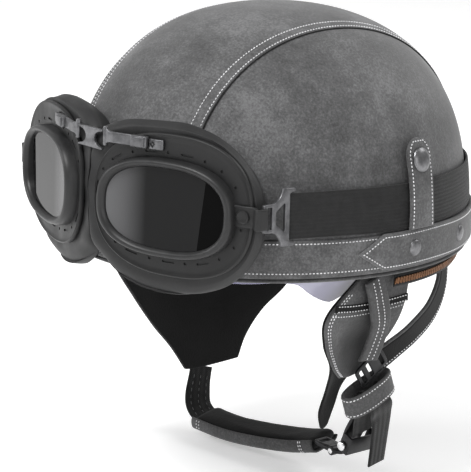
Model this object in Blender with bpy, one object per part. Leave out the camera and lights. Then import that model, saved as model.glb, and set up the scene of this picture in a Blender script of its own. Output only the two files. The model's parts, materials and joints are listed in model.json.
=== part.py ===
"""Leather-covered open-face motorcycle half helmet with flying goggles.

Metres, +Z up. The front of the helmet looks along -Y and the wearer's left is +X.
The origin is the centre of the brim plane.
"""
import math

import bmesh
import bpy
from mathutils import Vector

MM = 0.001

# Driving dimensions of the leather-covered dome (outer face of the leather)
HALF_WIDTH = 121.0 * MM
HALF_LENGTH = 136.0 * MM
CROWN_HEIGHT = 150.4 * MM
ROUNDING = 2.18      # exponent of the horizontal radius
FULLNESS = 2.88      # exponent of the height

# Layers, as distances out from the leather face
LEATHER = (-1.4 * MM, 0.0)
CENTER_LEATHER = (-1.4 * MM, 0.4 * MM)
SHELL = (-5.1 * MM, -1.8 * MM)
EPS = (-26.4 * MM, -5.5 * MM)
COMFORT = (-32.8 * MM, -26.8 * MM)
BRIM_BAND = (1.0 * MM, 2.1 * MM)
REAR_BAND = (2.8 * MM, 4.4 * MM)
ELASTIC = (1.2 * MM, 2.7 * MM)
KEEPER = (4.6 * MM, 6.4 * MM)

SEAM_X = 48.5 * MM
SEAM_GAP = 0.2 * MM
BRIM_BAND_Z = (0.6 * MM, 24.4 * MM)
REAR_BAND_Z = (2.5 * MM, 25.4 * MM)
REAR_BAND_TIP_Y = -35.0 * MM
REAR_BAND_SHOULDER_Y = -17.0 * MM
ELASTIC_Z = (26.2 * MM, 54.4 * MM)
ELASTIC_FRONT_Y = -86.0 * MM
ELASTIC_TANGENT_Y = -28.0 * MM
KEEPER_Y = 13.0 * MM
KEEPER_WIDTH = 22.0 * MM
KEEPER_Z = (26.6 * MM, 80.0 * MM)
SNAP_Z = 67.0 * MM
RIVET_Y = (8.0 * MM, 60.0 * MM)
RIVET_Z = 14.0 * MM

# Drop-down sun visor: a shell of revolution about its pivot axis (along X)
PIVOT_Z = 10.0 * MM
VISOR_A = 101.0 * MM
VISOR_B = 119.0 * MM
VISOR_HALF_THICK = 1.0 * MM
PIN_RADIUS = 3.9 * MM
CLIP_RADIUS = 4.4 * MM

# Goggle eye plane, left eye
# Facets round the dome and from brim to crown, the same for every layer
AROUND = 36
UP = 7

EYE = Vector((51.2, -135.6, 44.2)) * MM
EYE_YAW = math.radians(19.9)
EYE_TILT = math.radians(0.0)
BUCKLE_RUN = Vector((-0.105, 0.992, -0.073))
BUCKLE_RISE = Vector((-0.08, -0.06, 1.0))

# Flap hinges
FLAP_TOP_Z = -4.6 * MM
FLAP_LEFT_HINGE = Vector((110.0, 0.0, -4.6)) * MM
FLAP_RIGHT_HINGE = Vector((-108.0, 10.0, -4.6)) * MM
CHIN_HINGE = Vector((-94.3, 29.0, -122.0)) * MM
BUCKLE_PIN = Vector((74.0, 18.0, -129.6)) * MM
TONGUE_PIN = Vector((52.0, 23.0, -141.0)) * MM
STRAP_DOWN = Vector((-0.39, 0.0, -0.92)).normalized()
STRAP_OUT = Vector((0.92, 0.0, -0.39)).normalized()


def clear_scene():
    for obj in list(bpy.data.objects):
        bpy.data.objects.remove(obj, do_unlink=True)


def material(name, colour, metallic=0.0, roughness=0.6, alpha=1.0):
    made = bpy.data.materials.new(name)
    made.use_nodes = True
    shader = made.node_tree.nodes["Principled BSDF"]
    shader.inputs["Base Color"].default_value = (*colour, 1.0)
    shader.inputs["Metallic"].default_value = metallic
    shader.inputs["Roughness"].default_value = roughness
    shader.inputs["Alpha"].default_value = alpha
    made.diffuse_color = (*colour, alpha)
    return made


def make_object(name, points, faces, look, parent=None):
    """One closed mesh object. Points are in world space."""
    mesh = bpy.data.meshes.new(name)
    base = parent.location if parent else Vector((0, 0, 0))
    mesh.from_pydata([Vector(p) - base for p in points], [], faces)
    bm = bmesh.new()
    bm.from_mesh(mesh)
    bmesh.ops.remove_doubles(bm, verts=bm.verts, dist=1e-6)
    bmesh.ops.dissolve_degenerate(bm, dist=1e-6, edges=bm.edges)
    bmesh.ops.recalc_face_normals(bm, faces=bm.faces)
    bm.to_mesh(mesh)
    bm.free()
    obj = bpy.data.objects.new(name, mesh)
    bpy.context.collection.objects.link(obj)
    obj.parent = parent
    mesh.materials.append(look)
    return obj


def joint_empty(name, location):
    empty = bpy.data.objects.new(name, None)
    empty.location = location
    empty.empty_display_size = 0.02
    bpy.context.collection.objects.link(empty)
    return empty


# ---------------------------------------------------------------- dome surface

def profile(t):
    """Share of the brim section left at height share t."""
    t = min(max(t, 0.0), 1.0)
    return max(1.0 - t ** FULLNESS, 0.0) ** (1.0 / ROUNDING)


def dome_normal(p):
    radius = math.hypot(p[0] / HALF_WIDTH, p[1] / HALF_LENGTH)
    t = max(p[2] / CROWN_HEIGHT, 0.0)
    if radius < 1e-6:
        return Vector((0, 0, 1))
    side = ROUNDING * radius ** (ROUNDING - 2.0)
    up = FULLNESS * t ** (FULLNESS - 1.0) / CROWN_HEIGHT
    return Vector((side * p[0] / HALF_WIDTH ** 2, side * p[1] / HALF_LENGTH ** 2, up)).normalized()


def dome_point(angle, t, off):
    """Point at azimuth angle (0 = wearer's left, 90 degrees = rear) and height share t."""
    p = profile(t)
    point = Vector((HALF_WIDTH * p * math.cos(angle), HALF_LENGTH * p * math.sin(angle), CROWN_HEIGHT * t))
    return point + dome_normal(point) * off


def dome_side(y, z, off, side=1):
    """Point on the left (side 1) or right (side -1) flank at a given y and z."""
    p = profile(z / CROWN_HEIGHT)
    x = side * HALF_WIDTH * math.sqrt(max(p * p - (y / HALF_LENGTH) ** 2, 0.0))
    point = Vector((x, y, z))
    return point + dome_normal(point) * off


def level(point):
    radius = math.hypot(point[0] / HALF_WIDTH, point[1] / HALF_LENGTH)
    return radius ** ROUNDING + max(point[2] / CROWN_HEIGHT, 0.0) ** FULLNESS


def dome_radial(point, off, centre=Vector((0, 0, 0.02))):
    """Where the line from an inner centre to a point meets the dome, plus an offset."""
    ray = Vector(point) - centre
    low, high = 0.2, 2.5
    for _ in range(40):
        mid = (low + high) / 2
        if level(centre + ray * mid) < 1.0:
            low = mid
        else:
            high = mid
    hit = centre + ray * low
    return hit + dome_normal(hit) * off


# ------------------------------------------------------------------ solid tools

def loft(loops, closed_section=True, closed_loop=True):
    """Faces joining loops of equal length. A closed section joins the last loop to the first."""
    count = len(loops[0])
    points = [p for loop in loops for p in loop]
    faces = []
    for i in range(len(loops) if closed_section else len(loops) - 1):
        a, b = i * count, ((i + 1) % len(loops)) * count
        for j in range(count if closed_loop else count - 1):
            k = (j + 1) % count
            faces.append((a + j, a + k, b + k, b + j))
    return points, faces


def sheet(name, front, back, look, parent=None, wrap=False):
    """Closed solid between two equal grids of points."""
    rows, cols = len(front), len(front[0])
    points = [p for row in front for p in row] + [p for row in back for p in row]
    shift = rows * cols
    faces = []
    for i in range(rows - 1):
        for j in range(cols if wrap else cols - 1):
            k = (j + 1) % cols
            quad = (i * cols + j, i * cols + k, (i + 1) * cols + k, (i + 1) * cols + j)
            faces.append(quad)
            faces.append(tuple(v + shift for v in reversed(quad)))
    for j in range(cols if wrap else cols - 1):
        k = (j + 1) % cols
        last = (rows - 1) * cols
        faces.append((j, j + shift, k + shift, k))
        faces.append((last + j, last + k, last + k + shift, last + j + shift))
    if not wrap:
        for i in range(rows - 1):
            a, b = i * cols, (i + 1) * cols
            faces.append((a, b, b + shift, a + shift))
            a, b = a + cols - 1, b + cols - 1
            faces.append((a, a + shift, b + shift, b))
    return make_object(name, points, faces, look, parent)


def cup(name, layer, look, around=AROUND, up=UP):
    """Shell-like cup between two offsets of the dome, open at the brim plane."""
    rings = []
    for off in (layer[1], layer[0]):
        for i in range(up):
            t = math.sin(math.pi / 2 * i / up)
            rings.append([dome_point(2 * math.pi * j / around, t, off) for j in range(around)])
    outer, inner = rings[:up], rings[up:]
    points, faces = loft(outer[::-1] + inner, closed_section=False)
    points += [dome_point(0, 1.0, layer[1]), dome_point(0, 1.0, layer[0])]
    top, under = len(points) - 2, len(points) - 1
    last = (2 * up - 1) * around
    for j in range(around):
        k = (j + 1) % around
        faces.append((top, k, j))
        faces.append((under, last + j, last + k))
    return make_object(name, points, faces, look)


def band(name, layer, low, high, angles, look, parent=None, rows=1, wrap=False):
    """Strip on the dome. low and high give the height at an azimuth angle."""
    def grid(off):
        return [[dome_point(a, (low(a) + (high(a) - low(a)) * i / rows) / CROWN_HEIGHT, off)
                 for a in angles] for i in range(rows + 1)]
    return sheet(name, grid(layer[1]), grid(layer[0]), look, parent, wrap)


def catmull(points, count):
    """Evenly spaced samples of a smooth curve through the points."""
    pts = [Vector(p) for p in points]
    pts = [2 * pts[0] - pts[1]] + pts + [2 * pts[-1] - pts[-2]]
    spans = len(pts) - 3
    out = []
    for i in range(count):
        s = i / (count - 1) * spans
        k = min(int(s), spans - 1)
        t = s - k
        a, b, c, d = pts[k:k + 4]
        out.append(0.5 * (2 * b + (c - a) * t + (2 * a - 5 * b + 4 * c - d) * t * t
                          + (3 * b - a - 3 * c + d) * t ** 3))
    return out


def surface(rows, count_rows, count_cols):
    """Smooth grid through rows of control points given in millimetres."""
    wide = [catmull([Vector(p) * MM for p in row], count_cols) for row in rows]
    columns = [catmull([row[j] for row in wide], count_rows) for j in range(count_cols)]
    return [[columns[j][i] for j in range(count_cols)] for i in range(count_rows)]


def grid_normals(grid, outward):
    rows, cols = len(grid), len(grid[0])
    out = []
    for i in range(rows):
        line = []
        for j in range(cols):
            du = grid[i][min(j + 1, cols - 1)] - grid[i][max(j - 1, 0)]
            dv = grid[min(i + 1, rows - 1)][j] - grid[max(i - 1, 0)][j]
            n = du.cross(dv).normalized()
            line.append(n if n.dot(outward) > 0 else -n)
        out.append(line)
    return out


def skin(name, grid, outward, layer, look, parent):
    """Sheet between two offsets of a free-form grid."""
    normals = grid_normals(grid, outward)

    def shifted(off):
        return [[p + n * off for p, n in zip(*pair)] for pair in zip(grid, normals)]
    return sheet(name, shifted(layer[1]), shifted(layer[0]), look, parent)


def ribbon(name, path, wide, width, thick, look, parent, count=14):
    """Flat strap along a smooth path (millimetres); wide lists the width direction at both ends."""
    line = catmull([Vector(p) * MM for p in path], count)
    corners = [[], [], [], []]
    for i, p in enumerate(line):
        share = i / (count - 1)
        tangent = (line[min(i + 1, count - 1)] - line[max(i - 1, 0)]).normalized()
        across = Vector(wide[0]).lerp(Vector(wide[1]), share)
        across = (across - tangent * across.dot(tangent)).normalized()
        normal = tangent.cross(across)
        for k, (a, b) in enumerate(((1, 1), (-1, 1), (-1, -1), (1, -1))):
            corners[k].append(p + across * (a * width / 2) + normal * (b * thick / 2))
    points, faces = loft(corners, closed_section=True, closed_loop=False)
    faces += [tuple(k * count for k in range(4)), tuple(k * count + count - 1 for k in range(4))]
    return make_object(name, points, faces, look, parent)


def lathe(name, outline, centre, axis, look, parent=None, count=16):
    """Solid of revolution. outline lists (radius, height) pairs from axis to axis."""
    axis = Vector(axis).normalized()
    side = axis.orthogonal().normalized()
    other = axis.cross(side)
    inner = [(r, h) for r, h in outline if r > 0]
    loops = [[Vector(centre) + axis * h + (side * math.cos(2 * math.pi * j / count)
              + other * math.sin(2 * math.pi * j / count)) * r for j in range(count)]
             for r, h in inner]
    points, faces = loft(loops, closed_section=False)
    faces.append(tuple(range(count)))
    faces.append(tuple(reversed(range((len(loops) - 1) * count, len(loops) * count))))
    return make_object(name, points, faces, look, parent)


def prism(name, outline, origin, u_axis, v_axis, span, look, parent=None):
    """Outline of (u, v) points extruded along u x v between span[0] and span[1]."""
    u_axis, v_axis = Vector(u_axis).normalized(), Vector(v_axis).normalized()
    normal = u_axis.cross(v_axis)
    count = len(outline)
    points = [Vector(origin) + u_axis * u + v_axis * v + normal * h for h in span for u, v in outline]
    faces = [tuple(range(count)), tuple(reversed(range(count, 2 * count)))]
    for i in range(count):
        k = (i + 1) % count
        faces.append((i, k, k + count, i + count))
    return make_object(name, points, faces, look, parent)


def slotted_plate(name, columns, rows, holes, centre, u_axis, v_axis, thick, look, parent):
    """Flat plate of a grid of cells with some cells left open."""
    u_axis, v_axis = Vector(u_axis).normalized(), Vector(v_axis).normalized()
    normal = u_axis.cross(v_axis)
    nu, nv = len(columns), len(rows)

    def index(i, j, top):
        return (j * nu + i) * 2 + top
    points = [Vector(centre) + u_axis * u + v_axis * v + normal * h
              for v in rows for u in columns for h in (-thick / 2, thick / 2)]
    solid = {(i, j) for i in range(nu - 1) for j in range(nv - 1)} - set(holes)
    faces = []
    for i, j in solid:
        ring = [(i, j), (i + 1, j), (i + 1, j + 1), (i, j + 1)]
        faces.append(tuple(index(*c, 1) for c in ring))
        faces.append(tuple(index(*c, 0) for c in reversed(ring)))
        around = [(i, j - 1), (i + 1, j), (i, j + 1), (i - 1, j)]
        for k, cell in enumerate(around):
            if cell not in solid:
                a, b = ring[k], ring[(k + 1) % 4]
                faces.append((index(*a, 0), index(*b, 0), index(*b, 1), index(*a, 1)))
    return make_object(name, points, faces, look, parent)


def boolean(target, tool, operation="DIFFERENCE"):
    tool.hide_render = True
    tool.display_type = "WIRE"
    change = target.modifiers.new(operation.title(), "BOOLEAN")
    change.operation = operation
    change.solver = "EXACT"
    change.object = tool


# --------------------------------------------------------------------- helmet

def leather_panel(name, keep, layer, look):
    """Part of the dome skin between the seam planes: keep is -1, 0 or 1."""
    around, up = AROUND, UP
    bm = bmesh.new()
    rings = []
    for i in range(up):
        t = max(0.004, math.sin(math.pi / 2 * i / up))
        rings.append([bm.verts.new(dome_point(2 * math.pi * j / around, t, 0)) for j in range(around)])
    top = bm.verts.new((0, 0, CROWN_HEIGHT))
    for a, b in zip(rings, rings[1:]):
        for j in range(around):
            k = (j + 1) % around
            bm.faces.new((a[j], a[k], b[k], b[j]))
    for j in range(around):
        bm.faces.new((rings[-1][j], rings[-1][(j + 1) % around], top))
    cuts = {0: ((-1, SEAM_X - SEAM_GAP), (1, SEAM_X - SEAM_GAP)),
            1: ((-1, -SEAM_X - SEAM_GAP),), -1: ((1, -SEAM_X - SEAM_GAP),)}[keep]
    for sign, reach in cuts:
        bmesh.ops.bisect_plane(bm, geom=bm.verts[:] + bm.edges[:] + bm.faces[:],
                               plane_co=(sign * reach, 0, 0), plane_no=(sign, 0, 0),
                               clear_outer=True, clear_inner=False, dist=1e-6)
    bm.verts.ensure_lookup_table()
    bm.verts.index_update()
    surface_points = []
    for vert in bm.verts:
        p = vert.co.copy()
        for _ in range(4):
            p.yz = p.yz / level(p) ** (1 / ROUNDING) if abs(level(p) - 1) > 1e-9 else p.yz
        surface_points.append(p)
    count = len(surface_points)
    points = [p + dome_normal(p) * layer[1] for p in surface_points]
    points += [p + dome_normal(p) * layer[0] for p in surface_points]
    faces = []
    for face in bm.faces:
        ids = [v.index for v in face.verts]
        faces += [tuple(ids), tuple(i + count for i in reversed(ids))]
    for edge in bm.edges:
        if len(edge.link_faces) == 1:
            a, b = edge.verts[0].index, edge.verts[1].index
            faces.append((a, b, b + count, a + count))
    bm.free()
    return make_object(name, points, faces, look)


def rear_band_heights():
    """Angle list and height functions of the pointed leather band round the rear."""
    tip = math.asin(REAR_BAND_TIP_Y / HALF_LENGTH)
    shoulder = math.asin(REAR_BAND_SHOULDER_Y / HALF_LENGTH)
    middle = (REAR_BAND_Z[0] + REAR_BAND_Z[1]) / 2
    end = math.pi - tip
    angles = [tip, shoulder] + [shoulder + (math.pi - 2 * shoulder) * i / 26 for i in range(1, 26)]
    angles += [math.pi - shoulder, end]

    def share(a):
        near = min(a - tip, end - a) / (shoulder - tip)
        return min(max(near, 0.04), 1.0)
    return (angles, lambda a: middle + (REAR_BAND_Z[0] - middle) * share(a),
            lambda a: middle + (REAR_BAND_Z[1] - middle) * share(a))


def visor_radius_range():
    """(x, radius) pairs along the visor section, left pivot to right pivot."""
    radii = [CLIP_RADIUS, 8.5 * MM, 12 * MM, 16 * MM, 30 * MM, 46 * MM, 58 * MM, 72 * MM,
             88 * MM, 102 * MM, 113 * MM]
    half = [(VISOR_A * math.sqrt(1 - (r / VISOR_B) ** 2), r) for r in radii]
    return half + [(0.0, VISOR_B)] + [(-x, r) for x, r in reversed(half)]


def visor_angles(radius):
    """Lower and upper edge of the visor, as angles above the forward direction."""
    marks = [(0, -150), (8.5, -150), (12, -62), (16, -60), (46, -45), (58, -19), (68, -14.5), (119, -8.2)]
    r = radius / MM
    low = marks[-1][1]
    for (r0, a0), (r1, a1) in zip(marks, marks[1:]):
        if r0 <= r <= r1:
            low = a0 + (a1 - a0) * (r - r0) / (r1 - r0)
            break
    high = 150 if r <= 8.5 else math.degrees(math.asin(min(0.76, 49 / r)))
    if 8.5 < r < 12:
        high = 150 + (49.5 - 150) * (r - 8.5) / 3.5
    return math.radians(low), math.radians(high)


def visor_grid(off, spread=None, columns=6):
    grid = []
    for x, r in visor_radius_range():
        low, high = spread or visor_angles(r)
        slope = Vector((x / VISOR_A ** 2, r / VISOR_B ** 2)).normalized()
        x1, r1 = x + slope[0] * off, r + slope[1] * off
        grid.append([Vector((x1, -r1 * math.cos(a), PIVOT_Z + r1 * math.sin(a)))
                     for a in [low + (high - low) * i / columns for i in range(columns + 1)]])
    return grid


def build_helmet(looks):
    cup("outer_shell", SHELL, looks["shell"])
    eps = cup("eps_liner", EPS, looks["foam"])
    cup("comfort_liner", COMFORT, looks["lining"])
    for name, keep, layer in (("cover_center", 0, CENTER_LEATHER), ("cover_left", 1, LEATHER),
                              ("cover_right", -1, LEATHER)):
        leather_panel(name, keep, layer, looks["leather"])

    # crown pad: flat underneath, follows the lining above
    pad_radius, pad_bottom, count = 40 * MM, 103 * MM, 24
    rings = []
    for r in (pad_radius, pad_radius * 0.55):
        ring = []
        for j in range(count):
            a = 2 * math.pi * j / count
            hit = dome_radial((r * math.cos(a) * 1.25, r * math.sin(a) * 1.25, CROWN_HEIGHT),
                              COMFORT[0] - 2.6 * MM, Vector((0, 0, 0)))
            ring.append(Vector((r * math.cos(a), r * math.sin(a), hit.z)))
        rings.append(ring)
    under = [Vector((p.x, p.y, pad_bottom)) for p in rings[0]]
    points, faces = loft([rings[1], rings[0], under], closed_section=False)
    faces += [tuple(reversed(range(count))), tuple(range(2 * count, 3 * count))]
    make_object("crown_pad", points, faces, looks["lining"])

    full = [2 * math.pi * i / AROUND for i in range(AROUND)]
    band("brim_band", BRIM_BAND, lambda a: BRIM_BAND_Z[0], lambda a: BRIM_BAND_Z[1], full,
         looks["leather"], wrap=True)
    trim = []
    for off, z in ((-5.1, -0.3), (1.9, -0.3), (1.4, -2.4), (-4.6, -2.4)):
        trim.append([dome_point(a, 0, off * MM) + Vector((0, 0, z * MM)) for a in full])
    points, faces = loft(trim)
    make_object("edge_trim", points, faces, looks["leather"])

    angles, low, high = rear_band_heights()
    band("rear_band", REAR_BAND, low, high, angles, looks["leather"])
    number = 1
    for side, label in ((1, "left"), (-1, "right")):
        for y in RIVET_Y:
            seat = dome_side(y, RIVET_Z, REAR_BAND[1] + 0.2 * MM, side)
            lathe(f"band_rivet_{number}", [(5.0 * MM, 0), (4.6 * MM, 1.1 * MM), (3.0 * MM, 1.9 * MM)],
                  seat, dome_normal(seat), looks["rivet"], count=14)
            number += 1
        stud = dome_side(KEEPER_Y, SNAP_Z, 0.4 * MM, side)
        lathe(f"snap_stud_{label}", [(5.2 * MM, 0), (5.2 * MM, 0.9 * MM), (3.0 * MM, 1.2 * MM), (3.0 * MM, 3.3 * MM)],
              stud, dome_normal(stud), looks["rivet"], count=12)
        pin = [(PIN_RADIUS, 17.0 * MM), (PIN_RADIUS, 1.4 * MM), (6.2 * MM, 1.2 * MM), (6.2 * MM, 0)]
        lathe(f"visor_pivot_{label}", pin, (side * 98.2 * MM, 0, PIVOT_Z), (side, 0, 0),
              looks["dark_metal"], count=14)

    # the foam is hollowed for the stowed visor and its pivots
    sweep = (math.radians(-105), math.radians(50))
    outer, inner = visor_grid(2.0 * MM, sweep, 18), visor_grid(-2.0 * MM, sweep, 18)
    pocket = sheet("pocket_tool", clip_pocket(outer), clip_pocket(inner), looks["foam"])
    boolean(eps, pocket)
    for side in (1, -1):
        hole = lathe("pivot_tool", [(12.6 * MM, 0), (12.6 * MM, 21 * MM)], (side * 97.0 * MM, 0, PIVOT_Z),
                     (side, 0, 0), looks["foam"], count=16)
        boolean(eps, hole)

    # zip that carries the neck curtain, under the rear half of the brim
    start = math.asin(1 * MM / HALF_LENGTH)
    rear = [start + (math.pi - 2 * start) * i / 30 for i in range(31)]

    def hung(off, z):
        return [dome_point(a, 0, off * MM) + Vector((0, 0, z * MM)) for a in rear]
    sheet("zipper_tape", [hung(-5.0, -2.9), hung(-5.0, -12.5)], [hung(-6.0, -2.9), hung(-6.0, -12.5)],
          looks["tape"])
    sheet("zipper_teeth", [hung(-3.4, -6.2), hung(-3.4, -10.2)], [hung(-4.7, -6.2), hung(-4.7, -10.2)],
          looks["copper"])

    gap = 3.5 * MM
    start = math.asin((KEEPER_Y + gap) / HALF_LENGTH)
    angles = [start + (math.pi - 2 * start) * i / 30 for i in range(31)]
    band("goggle_strap_rear", ELASTIC, lambda a: ELASTIC_Z[0], lambda a: ELASTIC_Z[1], angles,
         looks["elastic"])


def clip_pocket(grid):
    """The pocket keeps to the visor's reach: short arcs near the pivot would meet the clip."""
    return grid[2:-2]


def build_visor(looks):
    joint = joint_empty("joint_visor", Vector((0, 0, PIVOT_Z)))
    sheet("sun_visor", visor_grid(VISOR_HALF_THICK), visor_grid(-VISOR_HALF_THICK), looks["visor"], joint)


def build_keepers(looks):
    for side, label in ((1, "left"), (-1, "right")):
        low_z, high_z = KEEPER_Z
        hinge = dome_side(KEEPER_Y, low_z, (KEEPER[0] + KEEPER[1]) / 2, side)
        joint = joint_empty(f"joint_keeper_{label}", hinge)

        def grid(off):
            rows = []
            for i in range(8):
                z = low_z + (high_z - low_z) * i / 7
                left = (high_z - z) / (11 * MM)
                half = KEEPER_WIDTH / 2 * (1.0 if left >= 1 else max(0.18, math.sqrt(max(0, left))))
                rows.append([dome_side(KEEPER_Y + half * s, z, off, side) for s in (-1, 0, 1)])
            return rows
        sheet(f"keeper_tab_{label}", grid(KEEPER[1]), grid(KEEPER[0]), looks["leather"], joint)
        cap = dome_side(KEEPER_Y, SNAP_Z, KEEPER[1] + 0.25 * MM, side)
        lathe(f"snap_cap_{label}", [(7.6 * MM, 0), (7.4 * MM, 1.0 * MM), (5.6 * MM, 2.3 * MM), (2.4 * MM, 2.9 * MM)],
              cap, dome_normal(cap), looks["rivet"], joint, count=18)


# -------------------------------------------------------------------- goggles

def eye_axes():
    across = Vector((math.cos(EYE_YAW), math.sin(EYE_YAW), 0))
    out = Vector((math.sin(EYE_YAW), -math.cos(EYE_YAW), 0))
    up = Vector((0, 0, 1))
    tilted = out * math.cos(EYE_TILT) - up * math.sin(EYE_TILT)
    return across, up * math.cos(EYE_TILT) + out * math.sin(EYE_TILT), tilted


def eye_point(r, z, n, side):
    across, up, out = eye_axes()
    p = EYE + across * r + up * z + out * n
    return Vector((p.x * side, p.y, p.z))


def oval(half_r, half_z, centre, power, count=28, inner_power=None):
    """Super-ellipse in the eye plane, in millimetres. The inner upper quarter may be squarer."""
    out = []
    for j in range(count):
        a = 2 * math.pi * (j + 0.5) / count
        c, s = math.cos(a), math.sin(a)
        e = inner_power if inner_power and c < 0 and s > 0 else power
        out.append(((centre[0] + half_r * math.copysign(abs(c) ** (2 / e), c)) * MM,
                    (centre[1] + half_z * math.copysign(abs(s) ** (2 / e), s)) * MM))
    return out


def eye_loop(outline, n, side, edge=None):
    loop = [eye_point(r, z, n * MM, side) for r, z in outline]
    if edge:
        loop = [Vector((side * max(side * p.x, edge), p.y, p.z)) for p in loop]
    return loop


def build_eye(side, label, looks, joint):
    flange_out, flange_in = oval(54.6, 43.7, (7.0, 0.4), 2.45), oval(43.2, 27.4, (4.3, -0.8), 2.5)
    loops = [eye_loop(flange_out, 0.7, side), eye_loop(flange_out, -1.8, side),
             eye_loop(flange_in, -1.8, side), eye_loop(flange_in, 0.7, side)]
    make_object(f"goggle_frame_{label}", *loft(loops), looks["rubber"], joint)

    rim = [eye_loop(oval(46.9, 29.9, (4.2, -0.8), 2.5), 1.0, side),
           eye_loop(oval(46.5, 29.5, (4.2, -0.8), 2.5), 6.6, side),
           eye_loop(oval(44.3, 27.6, (4.3, -0.8), 2.5), 9.0, side),
           eye_loop(oval(41.2, 25.2, (4.4, -0.8), 2.5), 8.0, side),
           eye_loop(oval(41.0, 25.0, (4.4, -0.8), 2.5), 1.0, side)]
    make_object(f"lens_rim_{label}", *loft(rim), looks["rubber"], joint)

    front, back = [], []
    for share, bulge in ((1.0, 0.0), (0.5, 1.4)):
        shape = oval(40.6 * share, 24.6 * share, (4.4, -0.8), 2.5)
        front.append(eye_loop(shape, 5.4 + bulge, side))
        back.append(eye_loop(shape, 3.6 + bulge, side))
    points, faces = loft(front[::-1] + back, closed_section=False)
    count = len(front[0])
    faces += [tuple(reversed(range(count))), tuple(range(3 * count, 4 * count))]
    make_object(f"lens_{label}", points, faces, looks["lens"], joint)

    edge = 0.25 * MM
    rear_out = [dome_radial(p, (4.8 if p.z < 12 * MM else 2.8) * MM) for p in eye_loop(oval(60, 48.6, (1.5, -3.3), 2.1, inner_power=3.0), -14, side, edge)]
    rear_in = [dome_radial(p, 2.5 * MM) for p in eye_loop(oval(46, 33, (4.5, 1.5), 2.2), -14, side, edge)]
    rear_out = [Vector((side * max(side * p.x, edge), p.y, p.z)) for p in rear_out]
    loops = [eye_loop(oval(44.2, 28.8, (4.3, -0.6), 2.4), -2.2, side, edge),
             eye_loop(oval(55.6, 45.2, (6.4, -0.2), 2.4, inner_power=3.0), -2.2, side, edge),
             eye_loop(oval(62.5, 52.0, (1.2, -3.4), 2.1, inner_power=3.1), -6.5, side, edge),
             eye_loop(oval(64.0, 53.2, (0.6, -3.6), 2.1, inner_power=3.1), -12.0, side, edge),
             rear_out, rear_in]
    make_object(f"goggle_cushion_{label}", *loft(loops), looks["cushion"], joint)

    # bridge hardware on the upper inner corner of the frame
    across, up, out = eye_axes()

    def block(name, r0, r1, z0, z1, n0, n1, look):
        pts = [eye_point(r * MM, z * MM, n * MM, side) for n in (n0, n1)
               for r, z in ((r0, z0), (r1, z0), (r1, z1), (r0, z1))]
        faces = [(0, 1, 2, 3), (7, 6, 5, 4), (0, 4, 5, 1), (1, 5, 6, 2), (2, 6, 7, 3), (3, 7, 4, 0)]
        return make_object(name, pts, faces, look, joint)
    block(f"clamp_block_{label}", -21.1, -8.9, 34.0, 41.4, 1.0, 6.0, looks["dark_metal"])
    bend = ((-40.0, -0.4), (-34.0, 1.2), (-21.4, 1.2), (-21.4, 3.2), (-34.4, 3.2), (-40.4, 1.6))
    ends = [[eye_point(r * MM, z * MM, n * MM, side) for r, n in bend] for z in (34.2, 40.8)]
    points, faces = loft(ends, closed_section=False)
    faces += [tuple(range(len(bend))), tuple(reversed(range(len(bend), 2 * len(bend))))]
    make_object(f"hinge_arm_{label}", points, faces, looks["dark_metal"], joint)

    # rubber lug that carries the strap buckle
    lug = [(111.6, -117.7), (113.0, -115.8), (113.8, -113.8), (114.1, -111.8)]
    line = catmull([Vector((side * x, y, 0)) * MM for x, y in lug], 7)
    rows_out, rows_in = [], []
    for i, p in enumerate(line):
        tangent = (line[min(i + 1, 6)] - line[max(i - 1, 0)]).normalized()
        normal = Vector((tangent.y, -tangent.x, 0)) * side
        rows_out.append([p + normal * 1.1 * MM + Vector((0, 0, (44.8 + s * 6.7) * MM)) for s in (-1, 1)])
        rows_in.append([p - normal * 1.1 * MM + Vector((0, 0, (44.8 + s * 6.7) * MM)) for s in (-1, 1)])
    sheet(f"strap_lug_{label}", rows_out, rows_in, looks["rubber"], joint)

    # ladder buckle: narrow bar for the lug, tall bar and hooks for the elastic
    centre = Vector((side * 112.65, -99.4, 43.85)) * MM
    half = [(-11.7, 8.4), (-1.0, 8.6), (3.0, 12.0), (5.6, 17.4), (16.4, 17.4), (16.4, 14.8), (11.7, 14.8)]
    outline = [(u * MM, v * MM) for u, v in half] + [(u * MM, -v * MM) for u, v in reversed(half)]
    u_axis, v_axis = BUCKLE_RUN * Vector((side, 1, 1)), BUCKLE_RISE * Vector((side, 1, 1))
    plate = prism(f"strap_buckle_{label}", outline, centre, u_axis, v_axis, (-1.0 * MM, 1.0 * MM),
                  looks["dark_metal"], joint)
    for shape in (((-8.2, 6.7), (-4.2, 6.7), (-4.2, -6.7), (-8.2, -6.7)),
                  ((-0.6, 4.0), (7.6, 8.4), (7.6, -8.4), (-0.6, -4.0))):
        hole = prism("slot_tool", [(u * MM, v * MM) for u, v in shape], centre, u_axis, v_axis,
                     (-3.0 * MM, 3.0 * MM), looks["dark_metal"], joint)
        boolean(plate, hole)

    start = Vector((side * 110.9 * MM, ELASTIC_FRONT_Y, 43.0 * MM))
    rows_out, rows_in = [], []
    for share in (0.0, 0.5):
        for rows, off in ((rows_out, ELASTIC[1]), (rows_in, ELASTIC[0])):
            lean = off - (ELASTIC[0] + ELASTIC[1]) / 2
            tip = [start + Vector((side * lean - side * s * 1.2 * MM, 0, s * 13.9 * MM)) for s in (-1, 1)]
            seat = [dome_side(ELASTIC_TANGENT_Y, z, off, side) for z in ELASTIC_Z]
            rows.append([a.lerp(b, share) for a, b in zip(tip, seat)])
    for i in range(6):
        y = ELASTIC_TANGENT_Y + (KEEPER_Y - ELASTIC_TANGENT_Y) * i / 5
        rows_out.append([dome_side(y, z, ELASTIC[1], side) for z in ELASTIC_Z])
        rows_in.append([dome_side(y, z, ELASTIC[0], side) for z in ELASTIC_Z])
    sheet(f"goggle_strap_{label}", rows_out, rows_in, looks["elastic"], joint)


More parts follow.
